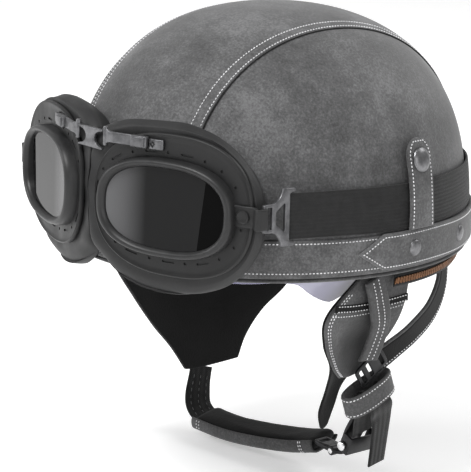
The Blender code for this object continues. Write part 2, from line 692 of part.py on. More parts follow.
def build_goggles(looks):
    joint = joint_empty("joint_goggles", Vector((0, KEEPER_Y, 40 * MM)))
    for side, label in ((1, "left"), (-1, "right")):
        build_eye(side, label, looks, joint)
    y, z = -150.5 * MM, 78.8 * MM
    outline = []
    for x, h in ((-12, 5.5), (-6, 5.5), (-4.5, 2.4), (-1.5, 1.2), (1.5, 1.2), (4.5, 2.4), (6, 5.5), (12, 5.5)):
        outline.append((x * MM, h * MM))
    outline += [(-x, -h) for x, h in outline]
    prism("bridge_plate", outline, (0, y, z), (1, 0, 0), (0, 0, 1), (-1.1 * MM, 1.1 * MM),
          looks["dark_metal"], joint)


# ---------------------------------------------------------------- chin harness

LEFT_FLAP = [
    [(108.3, -22, -5.0), (109.8, -8, -5.0), (109.8, 7, -5.0), (108.3, 22, -5.0)],
    [(106.0, -46, -27), (105.6, -25, -29), (106.0, -2, -29), (106.5, 20, -28)],
    [(103.0, -44, -46), (98.5, -26, -47), (97.0, -4, -47), (98.0, 18, -47.5)],
    [(99.0, -33, -64), (95.5, -24, -65), (93.0, -10, -65), (92.5, 4, -64)],
    [(95.0, -23, -73), (93.0, -18, -74), (92.0, -12, -74.5), (92.5, -6, -73.5)],
]
LEFT_LINING = [row[:] for row in LEFT_FLAP[:4]] + [
    [(91.0, -28, -82), (89.0, -23, -82), (87.8, -16, -82), (87.6, -10, -80)],
    [(87.5, -30, -97), (86.8, -26, -98), (86.2, -20, -97), (86.0, -15, -94)],
    [(86.5, -27, -108), (86.3, -25, -109), (86.1, -22.5, -108), (86.0, -20.5, -106)],
]
RIGHT_FLAP = [
    [(-97.4, -58, -5.0), (-109.0, -15, -5.0), (-103.5, 38, -5.0), (-64.0, 99, -5.0)],
    [(-98.0, -50, -35), (-107.0, -12, -35), (-104.0, 40, -35), (-70.0, 98, -37)],
    [(-97.0, -34, -60), (-103.0, 0, -61), (-101.0, 44, -62), (-79.0, 95, -65)],
    [(-96.5, -15, -85), (-99.0, 14, -86), (-98.0, 46, -86), (-89.5, 81, -85)],
    [(-95.5, 1, -103), (-96.5, 22, -104), (-96.5, 46, -104), (-94.0, 70, -103)],
    [(-94.3, 14, -118.6), (-94.5, 27, -119.4), (-94.5, 44, -119), (-94.0, 62, -118)],
]


def build_flap_left(looks):
    joint = joint_empty("joint_flap_left", FLAP_LEFT_HINGE)
    outward = Vector((1, 0, 0))
    skin("ear_flap_left", surface(LEFT_FLAP, 8, 7), outward, (0.25 * MM, 2.0 * MM), looks["leather"], joint)
    skin("flap_lining_left", surface(LEFT_LINING, 11, 7), outward, (-2.0 * MM, -0.25 * MM), looks["lining"], joint)
    ribbon("front_leg_left", [(114.0, -15, -5), (114.4, -10.5, -19), (111.2, -4, -36), (107.5, -5, -51), (104.0, -6.5, -62)],
           [(-0.1, 1, 0), (0.0, 1, 0)], 17 * MM, 2.4 * MM, looks["leather"], joint)
    ribbon("rear_leg_left", [(81.0, 82.0, -7.5), (86.0, 76.5, -28), (93.5, 60, -42), (99.2, 38, -52), (100.4, 16.5, -61.4)],
           [(-0.45, 0.9, -0.2), (-0.08, 0.57, -0.82)], 18 * MM, 2.6 * MM, looks["leather"], joint)
    long_axis = Vector((0, 0.82, 0.57)).normalized()
    cross_axis = Vector((0, -0.57, 0.82)).normalized()
    columns = [v * MM for v in (-13, -10.5, -7, -4, 4, 7, 10.5, 13)]
    rows = [v * MM for v in (-7.2, -5.2, 5.2, 7.2)]
    slotted_plate("adjuster_left", columns, rows, [(1, 1), (3, 1), (5, 1)], Vector((100.2, 1, -68.5)) * MM,
                  long_axis, cross_axis, 1.8 * MM, looks["black_metal"], joint)
    ribbon("webbing_left", [(80.6, 18, -119.5), (87, 12, -108), (94.0, 6, -96), (96.6, 2.5, -86.5), (98.6, 2.0, -84.4),
                            (100.3, 4.5, -86.8), (100.6, 11, -96), (95.5, 18, -106), (91.5, 21, -122), (89.6, 21, -140)],
           [(0.0, 1, 0.0), (-0.25, 0.97, 0)], 19 * MM, 1.8 * MM, looks["webbing"], joint, count=26)
    # leather loop that gathers the straps
    centre = Vector((98.6, 1.0, -86.0)) * MM
    height_axis = Vector((0, -0.358, 0.934))
    loops = []
    for half_l, half_x, h in ((18.5, 6.6, -7.5), (20.3, 8.4, -7.5), (20.3, 8.4, 7.5), (18.5, 6.6, 7.5)):
        loop = []
        for j in range(20):
            a = 2 * math.pi * j / 20
            c, s = math.cos(a), math.sin(a)
            loop.append(centre + Vector((0, 0.934, 0.358)) * (half_l * MM * math.copysign(abs(c) ** 0.8, c))
                        + Vector((half_x * MM * math.copysign(abs(s) ** 0.8, s), 0, 0)) + height_axis * (h * MM))
        loops.append(loop)
    make_object("strap_keeper_left", *loft(loops), looks["leather"], joint)
    # open channel of the quick-release buckle
    across = Vector((0, 1, 0))
    channel = [(-12, -4), (-12, 4.8), (12, 4.8), (12, -4), (10.4, -4), (10.4, 3.2), (-10.4, 3.2), (-10.4, -4)]
    frame = prism("buckle_frame", [(u * MM, v * MM) for u, v in channel], BUCKLE_PIN, across, STRAP_OUT,
          (-8.5 * MM, 4.6 * MM), looks["black_metal"], joint)
    bore = lathe("pin_tool", [(1.9 * MM, -20 * MM), (1.9 * MM, 20 * MM)], BUCKLE_PIN - STRAP_OUT * 0.6 * MM,
                 (0, 1, 0), looks["black_metal"], joint, count=14)
    boolean(frame, bore)
    lathe("buckle_pin", [(3.2 * MM, -14.2 * MM), (3.2 * MM, -12.4 * MM), (1.6 * MM, -12.3 * MM), (1.6 * MM, 12.3 * MM),
                         (3.2 * MM, 12.4 * MM), (3.2 * MM, 14.2 * MM)],
          BUCKLE_PIN - STRAP_OUT * 0.6 * MM, (0, 1, 0), looks["chrome"], joint, count=14)

    lever_joint = joint_empty("joint_lever", BUCKLE_PIN - STRAP_OUT * 0.6 * MM)
    leaf = [(-6.5, -5), (6.5, -5), (8.6, 2), (8.6, 12), (6.6, 20), (2.5, 25), (-2.5, 25), (-6.6, 20), (-8.6, 12), (-8.6, 2)]
    prism("buckle_lever", [(u * MM, v * MM) for u, v in leaf], BUCKLE_PIN - STRAP_OUT * 5.4 * MM, across, -STRAP_DOWN,
          (-1.2 * MM, 1.2 * MM), looks["black_metal"], lever_joint)


def build_flap_right(looks):
    joint = joint_empty("joint_flap_right", FLAP_RIGHT_HINGE)
    grid = surface(RIGHT_FLAP, 15, 12)
    outward = Vector((-1, 0, 0))
    skin("ear_flap_right", grid, outward, (0.3 * MM, 2.0 * MM), looks["leather"], joint)
    skin("flap_lining_right", grid, outward, (-2.0 * MM, -0.3 * MM), looks["lining"], joint)

    chin = joint_empty("joint_chin_strap", CHIN_HINGE)
    ribbon("webbing_right", [(-94.2, 29, -122.5), (-92.0, 25, -134), (-86.5, 20, -143.6), (-80.0, 17.6, -147.8)],
           [(0, 1, 0), (0, 1, 0.2)], 20 * MM, 1.8 * MM, looks["webbing"], chin, count=9)
    path = [(-75.5, 17, -150.5), (-45, 18, -151), (-18, 22, -149.5), (10, 27, -146), (34, 29, -140)]
    line = catmull([Vector(p) * MM for p in path], 13)
    across, up = Vector((0, 0.978, 0.208)), Vector((0, -0.208, 0.978))
    section = [(-13, -2.5), (-11.5, -5), (11.5, -5), (13, -2.5), (13, 2.0), (10.5, 4.6), (0, 5.4), (-10.5, 4.6), (-13, 2.0)]
    loops = []
    for u, v in section:
        loop = []
        for i, p in enumerate(line):
            tangent = (line[min(i + 1, 12)] - line[max(i - 1, 0)]).normalized()
            normal = (up - tangent * up.dot(tangent)).normalized()
            side = normal.cross(tangent).normalized()
            side = side if side.dot(across) > 0 else -side
            loop.append(p + side * (u * MM) + normal * (v * MM))
        loops.append(loop)
    points, faces = loft(loops, closed_section=True, closed_loop=False)
    faces += [tuple(k * 13 for k in range(9)), tuple(k * 13 + 12 for k in reversed(range(9)))]
    make_object("chin_pad", points, faces, looks["leather"], chin)

    run = (TONGUE_PIN - Vector((37.5, 27.5, -139.5)) * MM)
    run.y = 0
    run.normalize()
    outline = [(-17, -6), (-9, -6.5), (0, -6.5), (4.2, -4.8), (6.4, -1.8), (6.4, 1.8), (4.2, 4.8), (0, 6.5), (-9, 6.5), (-17, 6)]
    tongue = prism("buckle_tongue", [(u * MM, v * MM) for u, v in outline], TONGUE_PIN, run, (0, 1, 0),
                   (-1.3 * MM, 1.3 * MM), looks["black_metal"], chin)
    boss = lathe("boss_tool", [(3.3 * MM, -6.6 * MM), (3.3 * MM, 6.6 * MM)], TONGUE_PIN, (0, 1, 0),
                 looks["black_metal"], chin, count=14)
    boolean(tongue, boss, "UNION")


def main():
    clear_scene()
    looks = {
        "leather": material("grey_leather", (0.105, 0.105, 0.108), 0.0, 0.75),
        "shell": material("abs_shell", (0.02, 0.02, 0.02), 0.0, 0.35),
        "foam": material("eps_foam", (0.035, 0.035, 0.037), 0.0, 0.9),
        "lining": material("black_lining", (0.008, 0.008, 0.008), 0.0, 0.95),
        "cushion": material("goggle_cushion", (0.035, 0.035, 0.036), 0.0, 0.6),
        "rubber": material("goggle_rubber", (0.04, 0.04, 0.042), 0.0, 0.5),
        "lens": material("smoked_lens", (0.02, 0.02, 0.022), 0.0, 0.05, 0.75),
        "visor": material("tinted_visor", (0.11, 0.10, 0.16), 0.0, 0.05, 0.45),
        "elastic": material("elastic_strap", (0.012, 0.012, 0.013), 0.0, 0.85),
        "webbing": material("nylon_webbing", (0.01, 0.01, 0.01), 0.0, 0.8),
        "tape": material("zipper_tape_cloth", (0.01, 0.01, 0.01), 0.0, 0.9),
        "copper": material("zipper_copper", (0.30, 0.15, 0.07), 0.9, 0.4),
        "rivet": material("gunmetal_rivet", (0.12, 0.12, 0.12), 0.8, 0.4),
        "dark_metal": material("dark_metal", (0.07, 0.07, 0.075), 0.7, 0.45),
        "black_metal": material("black_metal", (0.015, 0.015, 0.016), 0.6, 0.4),
        "chrome": material("chrome_pin", (0.7, 0.7, 0.7), 1.0, 0.15),
    }
    build_helmet(looks)
    build_visor(looks)
    build_keepers(looks)
    build_goggles(looks)
    build_flap_left(looks)
    build_flap_right(looks)


main()
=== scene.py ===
import contextlib
import json
import math

import bmesh
import bpy
import numpy as np
from mathutils import Matrix, Vector, noise

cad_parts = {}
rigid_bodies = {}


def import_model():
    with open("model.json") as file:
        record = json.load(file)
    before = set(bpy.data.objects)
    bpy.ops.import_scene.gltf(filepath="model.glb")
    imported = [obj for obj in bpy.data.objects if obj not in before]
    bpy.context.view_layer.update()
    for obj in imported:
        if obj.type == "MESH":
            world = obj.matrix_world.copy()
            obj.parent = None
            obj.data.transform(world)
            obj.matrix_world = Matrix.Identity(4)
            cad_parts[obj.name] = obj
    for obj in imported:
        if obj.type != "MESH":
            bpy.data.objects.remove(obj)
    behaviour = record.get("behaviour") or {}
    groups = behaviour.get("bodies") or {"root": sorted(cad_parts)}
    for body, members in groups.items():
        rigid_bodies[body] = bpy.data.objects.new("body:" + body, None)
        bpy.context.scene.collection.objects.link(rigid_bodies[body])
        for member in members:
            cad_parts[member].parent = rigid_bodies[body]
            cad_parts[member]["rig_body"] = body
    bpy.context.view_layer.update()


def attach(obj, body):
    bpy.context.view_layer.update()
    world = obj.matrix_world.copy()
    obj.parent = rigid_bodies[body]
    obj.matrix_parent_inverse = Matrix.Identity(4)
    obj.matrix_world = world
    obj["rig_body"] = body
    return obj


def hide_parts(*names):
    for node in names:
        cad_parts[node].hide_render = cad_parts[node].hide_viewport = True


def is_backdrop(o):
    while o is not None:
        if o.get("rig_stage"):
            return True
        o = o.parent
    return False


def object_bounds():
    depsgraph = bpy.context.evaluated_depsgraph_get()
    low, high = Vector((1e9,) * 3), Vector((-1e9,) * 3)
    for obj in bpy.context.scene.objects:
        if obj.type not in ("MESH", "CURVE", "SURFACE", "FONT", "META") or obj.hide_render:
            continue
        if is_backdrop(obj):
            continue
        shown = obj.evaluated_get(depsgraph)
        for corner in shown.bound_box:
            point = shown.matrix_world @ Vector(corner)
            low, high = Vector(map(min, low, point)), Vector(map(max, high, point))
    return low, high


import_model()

# Everything below is worked out in millimetres and scaled once, when a mesh is made.
MM = 0.001
HALF_WIDTH, HALF_LENGTH, CROWN = 121.0, 136.0, 150.4
ROUNDING, FULLNESS = 2.18, 2.88
BRIM_BAND_Z, REAR_BAND_Z, ELASTIC_Z = (0.6, 24.4), (2.5, 25.4), (26.2, 54.4)
KEEPER_Y, SNAP_Z, RIVET_Z, RIVET_Y = 13.0, 67.0, 14.0, (8.0, 60.0)
REAR_BAND_ENDS_Y, STRAP_TANGENT_Y = (-35.0, -17.0), -28.0
SIDES = ((1, "left"), (-1, "right"))


# ------------------------------------------------------------------ materials

class Finish:
    """A node material, built from a few short calls. Sizes are in millimetres."""

    def __init__(self, name, colour, rough, metal=0.0, **sockets):
        self.mat = bpy.data.materials.new(name)
        self.mat.use_nodes = True
        self.tree = self.mat.node_tree
        self.shader = self.tree.nodes["Principled BSDF"]
        self.mat.diffuse_color = (*colour, 1.0)
        self.put("Base Color", (*colour, 1.0))
        self.put("Roughness", rough)
        self.put("Metallic", metal)
        for socket, value in sockets.items():
            self.put(socket.replace("_", " "), value)
        coords = self.tree.nodes.new("ShaderNodeTexCoord")
        self.place, self.uv = coords.outputs["Object"], coords.outputs["UV"]
        self.bumps = None

    def put(self, socket, value):
        if isinstance(value, bpy.types.NodeSocket):
            self.tree.links.new(value, self.shader.inputs[socket])
        else:
            self.shader.inputs[socket].default_value = value

    def node(self, kind, inputs, **props):
        made = self.tree.nodes.new(kind)
        for key, value in props.items():
            setattr(made, key, value)
        for key, value in inputs.items():
            if isinstance(value, bpy.types.NodeSocket):
                self.tree.links.new(value, made.inputs[key])
            else:
                made.inputs[key].default_value = value
        return made

    def noise(self, size, detail=3.0, rough=0.55, stretch=None):
        where = self.place
        if stretch:
            where = self.node("ShaderNodeMapping", {"Vector": where, "Scale": stretch}).outputs["Vector"]
        return self.node("ShaderNodeTexNoise", {"Vector": where, "Scale": 1000.0 / size, "Detail": detail,
                                                "Roughness": rough}).outputs["Fac"]

    def cells(self, size, feature="F1"):
        return self.node("ShaderNodeTexVoronoi", {"Vector": self.place, "Scale": 1000.0 / size},
                         feature=feature).outputs["Distance"]

    def math(self, operation, a, b):
        return self.node("ShaderNodeMath", {0: a, 1: b}, operation=operation).outputs[0]

    def ramp(self, fac, *stops):
        made = self.node("ShaderNodeValToRGB", {"Fac": fac})
        points = made.color_ramp.elements
        while len(points) < len(stops):
            points.new(0.5)
        for point, (where, colour) in zip(points, stops):
            point.position = where
            point.color = (*colour, 1.0) if hasattr(colour, "__len__") else (colour, colour, colour, 1.0)
        return made.outputs["Color"]

    def mix(self, fac, a, b, blend="MIX"):
        made = self.tree.nodes.new("ShaderNodeMix")
        made.data_type, made.blend_type = "RGBA", blend
        for key, value in ((0, fac), (6, a), (7, b)):
            if isinstance(value, bpy.types.NodeSocket):
                self.tree.links.new(value, made.inputs[key])
            else:
                made.inputs[key].default_value = value if key == 0 else (*value, 1.0)
        return made.outputs[2]

    def attribute(self, name):
        return self.node("ShaderNodeAttribute", {}, attribute_name=name).outputs["Fac"]

    def bump(self, height, strength, depth):
        inputs = {"Height": height, "Strength": strength, "Distance": depth * MM}
        if self.bumps:
            inputs["Normal"] = self.bumps
        self.bumps = self.node("ShaderNodeBump", inputs).outputs["Normal"]
        self.put("Normal", self.bumps)


def grey(value):
    return (value, value, value * 1.02)


def leather(name, dark, mid, light, rough=0.74):
    """Distressed suede-faced leather: soft clouds, rubbed high spots, fine grain, and painted shade that darkens it
    where a stored mask marks a hollow.
    """
    it = Finish(name, grey(mid), rough, Specular_IOR_Level=0.28, Sheen_Weight=0.18, Sheen_Roughness=0.55)
    clouds, patches, specks = it.noise(46, 4, 0.62), it.noise(9, 5, 0.7), it.noise(1.5, 2, 0.7)
    blend = it.math("ADD", it.math("MULTIPLY", clouds, 0.42), it.math("MULTIPLY", patches, 0.22))
    blend = it.math("ADD", blend, it.math("MULTIPLY", specks, 0.36))
    colour = it.ramp(blend, (0.38, grey(dark)), (0.50, grey(mid)), (0.61, grey(light)))
    # painted shade: a stored mask darkens the colour towards near black in the hollow middle of a leaf, where shade
    # would fall
    painted_hollow_shade = it.math("MULTIPLY", it.attribute("painted_hollow_shade"), 0.82)
    it.put("Base Color", it.mix(painted_hollow_shade, colour, grey(0.010)))
    it.put("Roughness", it.ramp(patches, (0.3, rough - 0.12), (0.7, rough + 0.08)))
    it.bump(it.cells(1.3, "SMOOTH_F1"), 0.22, 0.30)
    it.bump(specks, 0.30, 0.22)
    it.bump(it.noise(14, 3, 0.5), 0.25, 1.0)
    return it.mat


def cloth(name, tone, pitch, sheen=0.1, rough=0.9):
    """Fine woven or knitted cloth, laid out in the piece's own place."""
    it = Finish(name, grey(tone), rough, Specular_IOR_Level=0.2, Sheen_Weight=sheen, Sheen_Roughness=0.5)
    fuzz, patches = it.noise(0.9, 2, 0.6), it.noise(22, 3, 0.6)
    it.put("Base Color", it.ramp(it.math("ADD", it.math("MULTIPLY", fuzz, 0.5), it.math("MULTIPLY", patches, 0.5)),
                                 (0.3, grey(tone * 0.6)), (0.7, grey(tone * 1.5))))
    it.bump(it.cells(pitch), 0.35, 0.25)
    it.bump(fuzz, 0.25, 0.15)
    return it.mat


def webbing(name, tone, pitch, ribs, rough=0.82):
    """Narrow woven tape. Its weave follows the strip, from the lengths stored in its UV map."""
    it = Finish(name, grey(tone), rough, Specular_IOR_Level=0.25, Sheen_Weight=0.12, Sheen_Roughness=0.5)
    split = it.node("ShaderNodeSeparateXYZ", {"Vector": it.uv}).outputs
    along = it.math("SINE", it.math("MULTIPLY", split[0], 100.0 * 2 * math.pi / pitch), 0.0)
    across = it.math("SINE", it.math("MULTIPLY", split[1], 100.0 * 2 * math.pi / pitch), 0.0)
    weave = it.math("MULTIPLY", along, across)
    rib = it.math("SINE", it.math("MULTIPLY", split[1], 100.0 * 2 * math.pi / ribs), 0.0)
    it.put("Base Color", it.ramp(it.math("ADD", it.math("MULTIPLY", weave, 0.18), it.noise(6, 4, 0.7)),
                                 (0.3, grey(tone * 0.55)), (0.75, grey(tone * 1.6))))
    it.bump(weave, 0.5, 0.16)
    it.bump(rib, 0.35, 0.35)
    return it.mat


def rubber(name, tone, rough, grain=0.9):
    it = Finish(name, grey(tone), rough, Specular_IOR_Level=0.3)
    patches, specks = it.noise(18, 4, 0.6), it.noise(grain, 2, 0.6)
    it.put("Base Color", it.ramp(it.math("ADD", it.math("MULTIPLY", patches, 0.7), it.math("MULTIPLY", specks, 0.3)),
                                 (0.35, grey(tone * 0.8)), (0.65, grey(tone * 1.25))))
    it.put("Roughness", it.ramp(patches, (0.3, rough - 0.07), (0.7, rough + 0.08)))
    it.bump(specks, 0.18, 0.12)
    return it.mat


def metal(name, colour, rough, brushed=0.35, metallic=0.95):
    """Plated metal with a fine tumbled finish and slightly rubbed patches."""
    it = Finish(name, colour, rough, metallic)
    patches, fine = it.noise(5, 4, 0.65), it.noise(0.5, 2, 0.6)
    darker, lighter = [c * 0.75 for c in colour], [min(c * 1.35, 1.0) for c in colour]
    it.put("Base Color", it.ramp(patches, (0.35, darker), (0.65, lighter)))
    it.put("Roughness", it.ramp(fine, (0.3, max(rough - 0.08, 0.02)), (0.7, rough + 0.1)))
    it.bump(fine, brushed, 0.04)
    return it.mat


def glass_with_painted_reflection(name, colour, alpha, inner, outer, level=0.16):
    """Smoked pane. Its colour runs from inner to outer across the pane, by the stored share: a painted reflection,
    lighter at the inner side, laid over the smoked tint.
    """
    it = Finish(name, colour, 0.05, Specular_IOR_Level=level, IOR=1.45, Alpha=alpha)
    # painted reflection: the stored share moves the colour from the lighter inner grey to the near-black outer colour
    share = it.attribute("share")
    it.put("Base Color", it.ramp(share, (0.0, inner), (0.20, [0.6 * a + 0.4 * b for a, b in zip(inner, outer)]),
                                 (0.42, outer)))
    it.put("Roughness", it.ramp(it.noise(8, 3, 0.5), (0.3, 0.03), (0.7, 0.07)))
    return it.mat


def tinted_visor():
    it = Finish("visor_polycarbonate", (0.30, 0.28, 0.42), 0.06, Specular_IOR_Level=0.6, Alpha=0.62, Coat_Weight=0.4)
    it.put("Base Color", it.ramp(it.noise(60, 2, 0.5), (0.3, (0.20, 0.19, 0.32)), (0.7, (0.34, 0.33, 0.48))))
    it.put("Roughness", it.ramp(it.noise(10, 3, 0.5), (0.3, 0.04), (0.7, 0.09)))
    return it.mat


def foam(name, tone):
    it = Finish(name, grey(tone), 0.92, Specular_IOR_Level=0.2)
    beads = it.cells(3.4)
    it.put("Base Color", it.ramp(beads, (0.0, grey(tone * 1.5)), (0.6, grey(tone * 0.5))))
    it.bump(beads, 0.5, 0.4)
    return it.mat


LOOKS = {
    "leather": leather("distressed_leather", 0.030, 0.066, 0.125),
    "leather_strap": leather("strap_leather", 0.020, 0.045, 0.085),
    "shell": rubber("abs_shell", 0.012, 0.35),
    "foam": foam("eps_foam", 0.02),
    "lining": cloth("black_lining", 0.0042, 1.4),
    "padding": cloth("padded_mesh_cloth", 0.0060, 2.2),
    "cushion": rubber("cushion_leatherette", 0.0165, 0.55, 1.6),
    "rubber": rubber("goggle_rubber", 0.0125, 0.48),
    "rim": rubber("goggle_rim", 0.019, 0.40),
    # painted reflection: the lens is lighter at its inner side and the side pane is near black, laid over the smoked
    # tint
    "lens": glass_with_painted_reflection("smoked_lens", (0.05, 0.05, 0.052), 1.0, (0.105, 0.105, 0.108), (0.004, 0.004, 0.0042)),
    "lens_side": glass_with_painted_reflection("side_pane_painted_reflection", (0.003, 0.003, 0.003), 1.0, (0.002,) * 3, (0.001,) * 3,
                       level=0.05),
    "visor": tinted_visor(),
    "elastic": webbing("elastic_strap", 0.0085, 0.9, 2.3),
    "webbing": webbing("nylon_webbing", 0.0085, 1.6, 5.0),
    "tape": webbing("zip_tape", 0.0060, 0.8, 2.0),
    "copper": metal("zip_copper", (0.21, 0.105, 0.055), 0.42),
    "rivet": metal("gunmetal_rivet", (0.16, 0.16, 0.165), 0.36),
    "dark_metal": metal("dark_hardware", (0.12, 0.12, 0.125), 0.38, 0.5, 0.8),
    "black_metal": metal("black_hardware", (0.020, 0.020, 0.021), 0.38, 0.4, 0.6),
    "chrome": metal("chrome_pin", (0.74, 0.74, 0.75), 0.16, 0.1, 1.0),
    "thread": cloth("off_white_thread", 0.62, 0.5, 0.2, 0.7),
    "dark_thread": cloth("grey_thread", 0.10, 0.5, 0.2, 0.7),
}


# --------------------------------------------------------------- dome surface

def unit(v):
    return v / np.maximum(np.linalg.norm(v, axis=-1, keepdims=True), 1e-9)


def around(count):
    """Angles of a full turn, the last one left out."""
    return np.linspace(0, 2 * np.pi, count, endpoint=False)


def signed(value, exponent):
    """A power that keeps the sign, for squarish ovals."""
    return np.sign(value) * np.abs(value) ** exponent


def in_scene(name, data):
    obj = bpy.data.objects.new(name, data)
    bpy.context.scene.collection.objects.link(obj)
    return obj


@contextlib.contextmanager
def editing(mesh):
    bm = bmesh.new()
    bm.from_mesh(mesh)
    yield bm
    bm.to_mesh(mesh)
    bm.free()


def dome_normal(p):
    x, y, z = p[..., 0], p[..., 1], p[..., 2]
    radius = np.maximum(np.hypot(x / HALF_WIDTH, y / HALF_LENGTH), 1e-6)
    share = np.maximum(z / CROWN, 0.0)
    side = ROUNDING * radius ** (ROUNDING - 2.0)
    n = np.stack([side * x / HALF_WIDTH ** 2, side * y / HALF_LENGTH ** 2,
                  FULLNESS * share ** (FULLNESS - 1.0) / CROWN], -1)
    return n / np.linalg.norm(n, axis=-1, keepdims=True)


def level(p):
    radius = np.hypot(p[..., 0] / HALF_WIDTH, p[..., 1] / HALF_LENGTH)
    return radius ** ROUNDING + np.maximum(p[..., 2] / CROWN, 0.0) ** FULLNESS


def cast(points, centre):
    """Where lines from a centre to the points meet the dome."""
    centre = np.asarray(centre, float)
    ray = points - centre
    low, high = np.full(points.shape[:-1], 0.02), np.full(points.shape[:-1], 60.0)
    for _ in range(60):
        middle = (low + high) / 2
        inside = level(centre + ray * middle[..., None]) < 1.0
        low, high = np.where(inside, middle, low), np.where(inside, high, middle)
    return centre + ray * low[..., None]


def dome(angle, z, off=0.0):
    angle, z = np.broadcast_arrays(np.asarray(angle, float), np.asarray(z, float))
    share = np.clip(z / CROWN, 0.0, 1.0)
    p = np.maximum(1.0 - share ** FULLNESS, 0.0) ** (1.0 / ROUNDING)
    point = np.stack([HALF_WIDTH * p * np.cos(angle), HALF_LENGTH * p * np.sin(angle), z], -1)
    return point + dome_normal(point) * np.asarray(off, float)[..., None]


def flank(y, z, off, side):
    y, z = np.broadcast_arrays(np.asarray(y, float), np.asarray(z, float))
    p = np.maximum(1.0 - np.clip(z / CROWN, 0, 1) ** FULLNESS, 0.0) ** (1.0 / ROUNDING)
    x = side * HALF_WIDTH * np.sqrt(np.maximum(p * p - (y / HALF_LENGTH) ** 2, 0.0))
    point = np.stack([x, y, z], -1)
    return point + dome_normal(point) * np.asarray(off, float)[..., None]


# ---------------------------------------------------------------- mesh tools

def catmull(points, count, closed=False):
    pts = np.asarray(points, float)
    if closed:
        pts = np.concatenate([pts[-1:], pts, pts[:2]])
        s = np.arange(count) / count * (len(pts) - 3)
    else:
        pts = np.concatenate([2 * pts[:1] - pts[1:2], pts, 2 * pts[-1:] - pts[-2:-1]])
        s = np.linspace(0, len(pts) - 3, count)
    k = np.minimum(s.astype(int), len(pts) - 4)
    t = (s - k).reshape((-1,) + (1,) * (pts.ndim - 1))
    a, b, c, d = pts[k], pts[k + 1], pts[k + 2], pts[k + 3]
    return 0.5 * (2 * b + (c - a) * t + (2 * a - 5 * b + 4 * c - d) * t ** 2 + (3 * b - a - 3 * c + d) * t ** 3)


def add(name, points, faces, look, body, replaces=(), sharp=None, uv=None, marks=None, weld=True):
    """One closed mesh that rides on a body. Points are in millimetres."""
    mesh = bpy.data.meshes.new(name)
    mesh.from_pydata((np.asarray(points, float).reshape(-1, 3) * MM).tolist(), [], faces)
    if uv is not None:
        layer = mesh.uv_layers.new(name="lengths")
        index = np.zeros(len(mesh.loops), int)
        mesh.loops.foreach_get("vertex_index", index)
        layer.data.foreach_set("uv", np.asarray(uv, float).reshape(-1, 2)[index].ravel() * 0.01)
    for key, values in (marks or {}).items():
        mesh.attributes.new(key, "FLOAT", "POINT").data.foreach_set("value", np.asarray(values, np.float32).ravel())
    with editing(mesh) as bm:
        if weld:
            bmesh.ops.remove_doubles(bm, verts=bm.verts, dist=1e-6)
            bmesh.ops.dissolve_degenerate(bm, dist=1e-7, edges=bm.edges)
        bmesh.ops.recalc_face_normals(bm, faces=bm.faces)
    obj = in_scene(name, mesh)
    mesh.materials.append(LOOKS[look])
    mesh.shade_smooth()
    if sharp is not None:
        mesh.set_sharp_from_angle(angle=math.radians(sharp))
    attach(obj, body)
    if replaces:
        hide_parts(*replaces)
    return obj


def grid_faces(rows, cols, wrap=False, shift=0, flip=False):
    i, j = np.meshgrid(np.arange(rows - 1), np.arange(cols if wrap else cols - 1), indexing="ij")
    i, j, k = i.ravel(), j.ravel(), (j.ravel() + 1) % cols
    quads = np.stack([i * cols + j, i * cols + k, (i + 1) * cols + k, (i + 1) * cols + j], 1) + shift
    return (quads[:, ::-1] if flip else quads).tolist()


def loft(name, loops, look, body, closed=True, caps=False, **more):
    """Surface through loops of equal length; closed joins the last loop to the first."""
    loops = np.asarray(loops, float)
    rows, cols = loops.shape[:2]
    faces = grid_faces(rows, cols, wrap=True)
    if closed:
        last = (rows - 1) * cols
        faces += [(last + j, last + (j + 1) % cols, (j + 1) % cols, j) for j in range(cols)]
    if caps:
        faces += [tuple(range(cols)), tuple(reversed(range((rows - 1) * cols, rows * cols)))]
    return add(name, loops, faces, look, body, **more)


class Patch:
    """A smooth surface held as a dense grid of points and normals over u and v from 0 to 1."""

    def __init__(self, points, normals=None, outward=None, wrap=False):
        self.p, self.wrap = np.asarray(points, float), wrap
        if normals is None:
            du, dv = np.gradient(self.p, axis=0), np.gradient(self.p, axis=1)
            normals = unit(np.cross(du, dv))
            if (normals @ np.asarray(outward, float)).mean() < 0:
                normals = -normals
        self.n = np.asarray(normals, float)
        self.long = np.linalg.norm(np.diff(self.p, axis=0), axis=-1).sum(0)
        self.wide = np.linalg.norm(np.diff(self.p, axis=1), axis=-1).sum(1)

    def at(self, u, v):
        u, v = np.broadcast_arrays(np.asarray(u, float), np.asarray(v, float))
        rows, cols = self.p.shape[:2]
        a, b = np.clip(u, 0, 1) * (rows - 1), np.clip(v, 0, 1) * (cols - 1)
        i, j = np.minimum(a.astype(int), rows - 2), np.minimum(b.astype(int), cols - 2)
        s, t = (a - i)[..., None], (b - j)[..., None]
        both = []
        for grid in (self.p, self.n):
            both.append((grid[i, j] * (1 - t) + grid[i, j + 1] * t) * (1 - s)
                        + (grid[i + 1, j] * (1 - t) + grid[i + 1, j + 1] * t) * s)
        return both[0], unit(both[1])

    def facing(self, direction, row=0):
        """The same surface, with normals on the side that direction looks to, judged at one row."""
        return self if self.n[row, 4] @ np.asarray(direction, float) >= 0 else Patch(self.p, -self.n)

    def width(self, u):
        return np.interp(np.asarray(u, float) * (len(self.wide) - 1), np.arange(len(self.wide)), self.wide)


def on_dome(points, **more):
    return Patch(points, dome_normal(points), **more)


def lines(count, length, edge):
    """Shares from 0 to 1 with extra lines inside the rounded edge."""
    near = edge / max(length, edge * 2.5) * np.array([0.0, 0.08, 0.3, 0.62, 1.0])
    return np.unique(np.concatenate([near, np.linspace(near[-1], 1 - near[-1], count), 1 - near]).round(6))


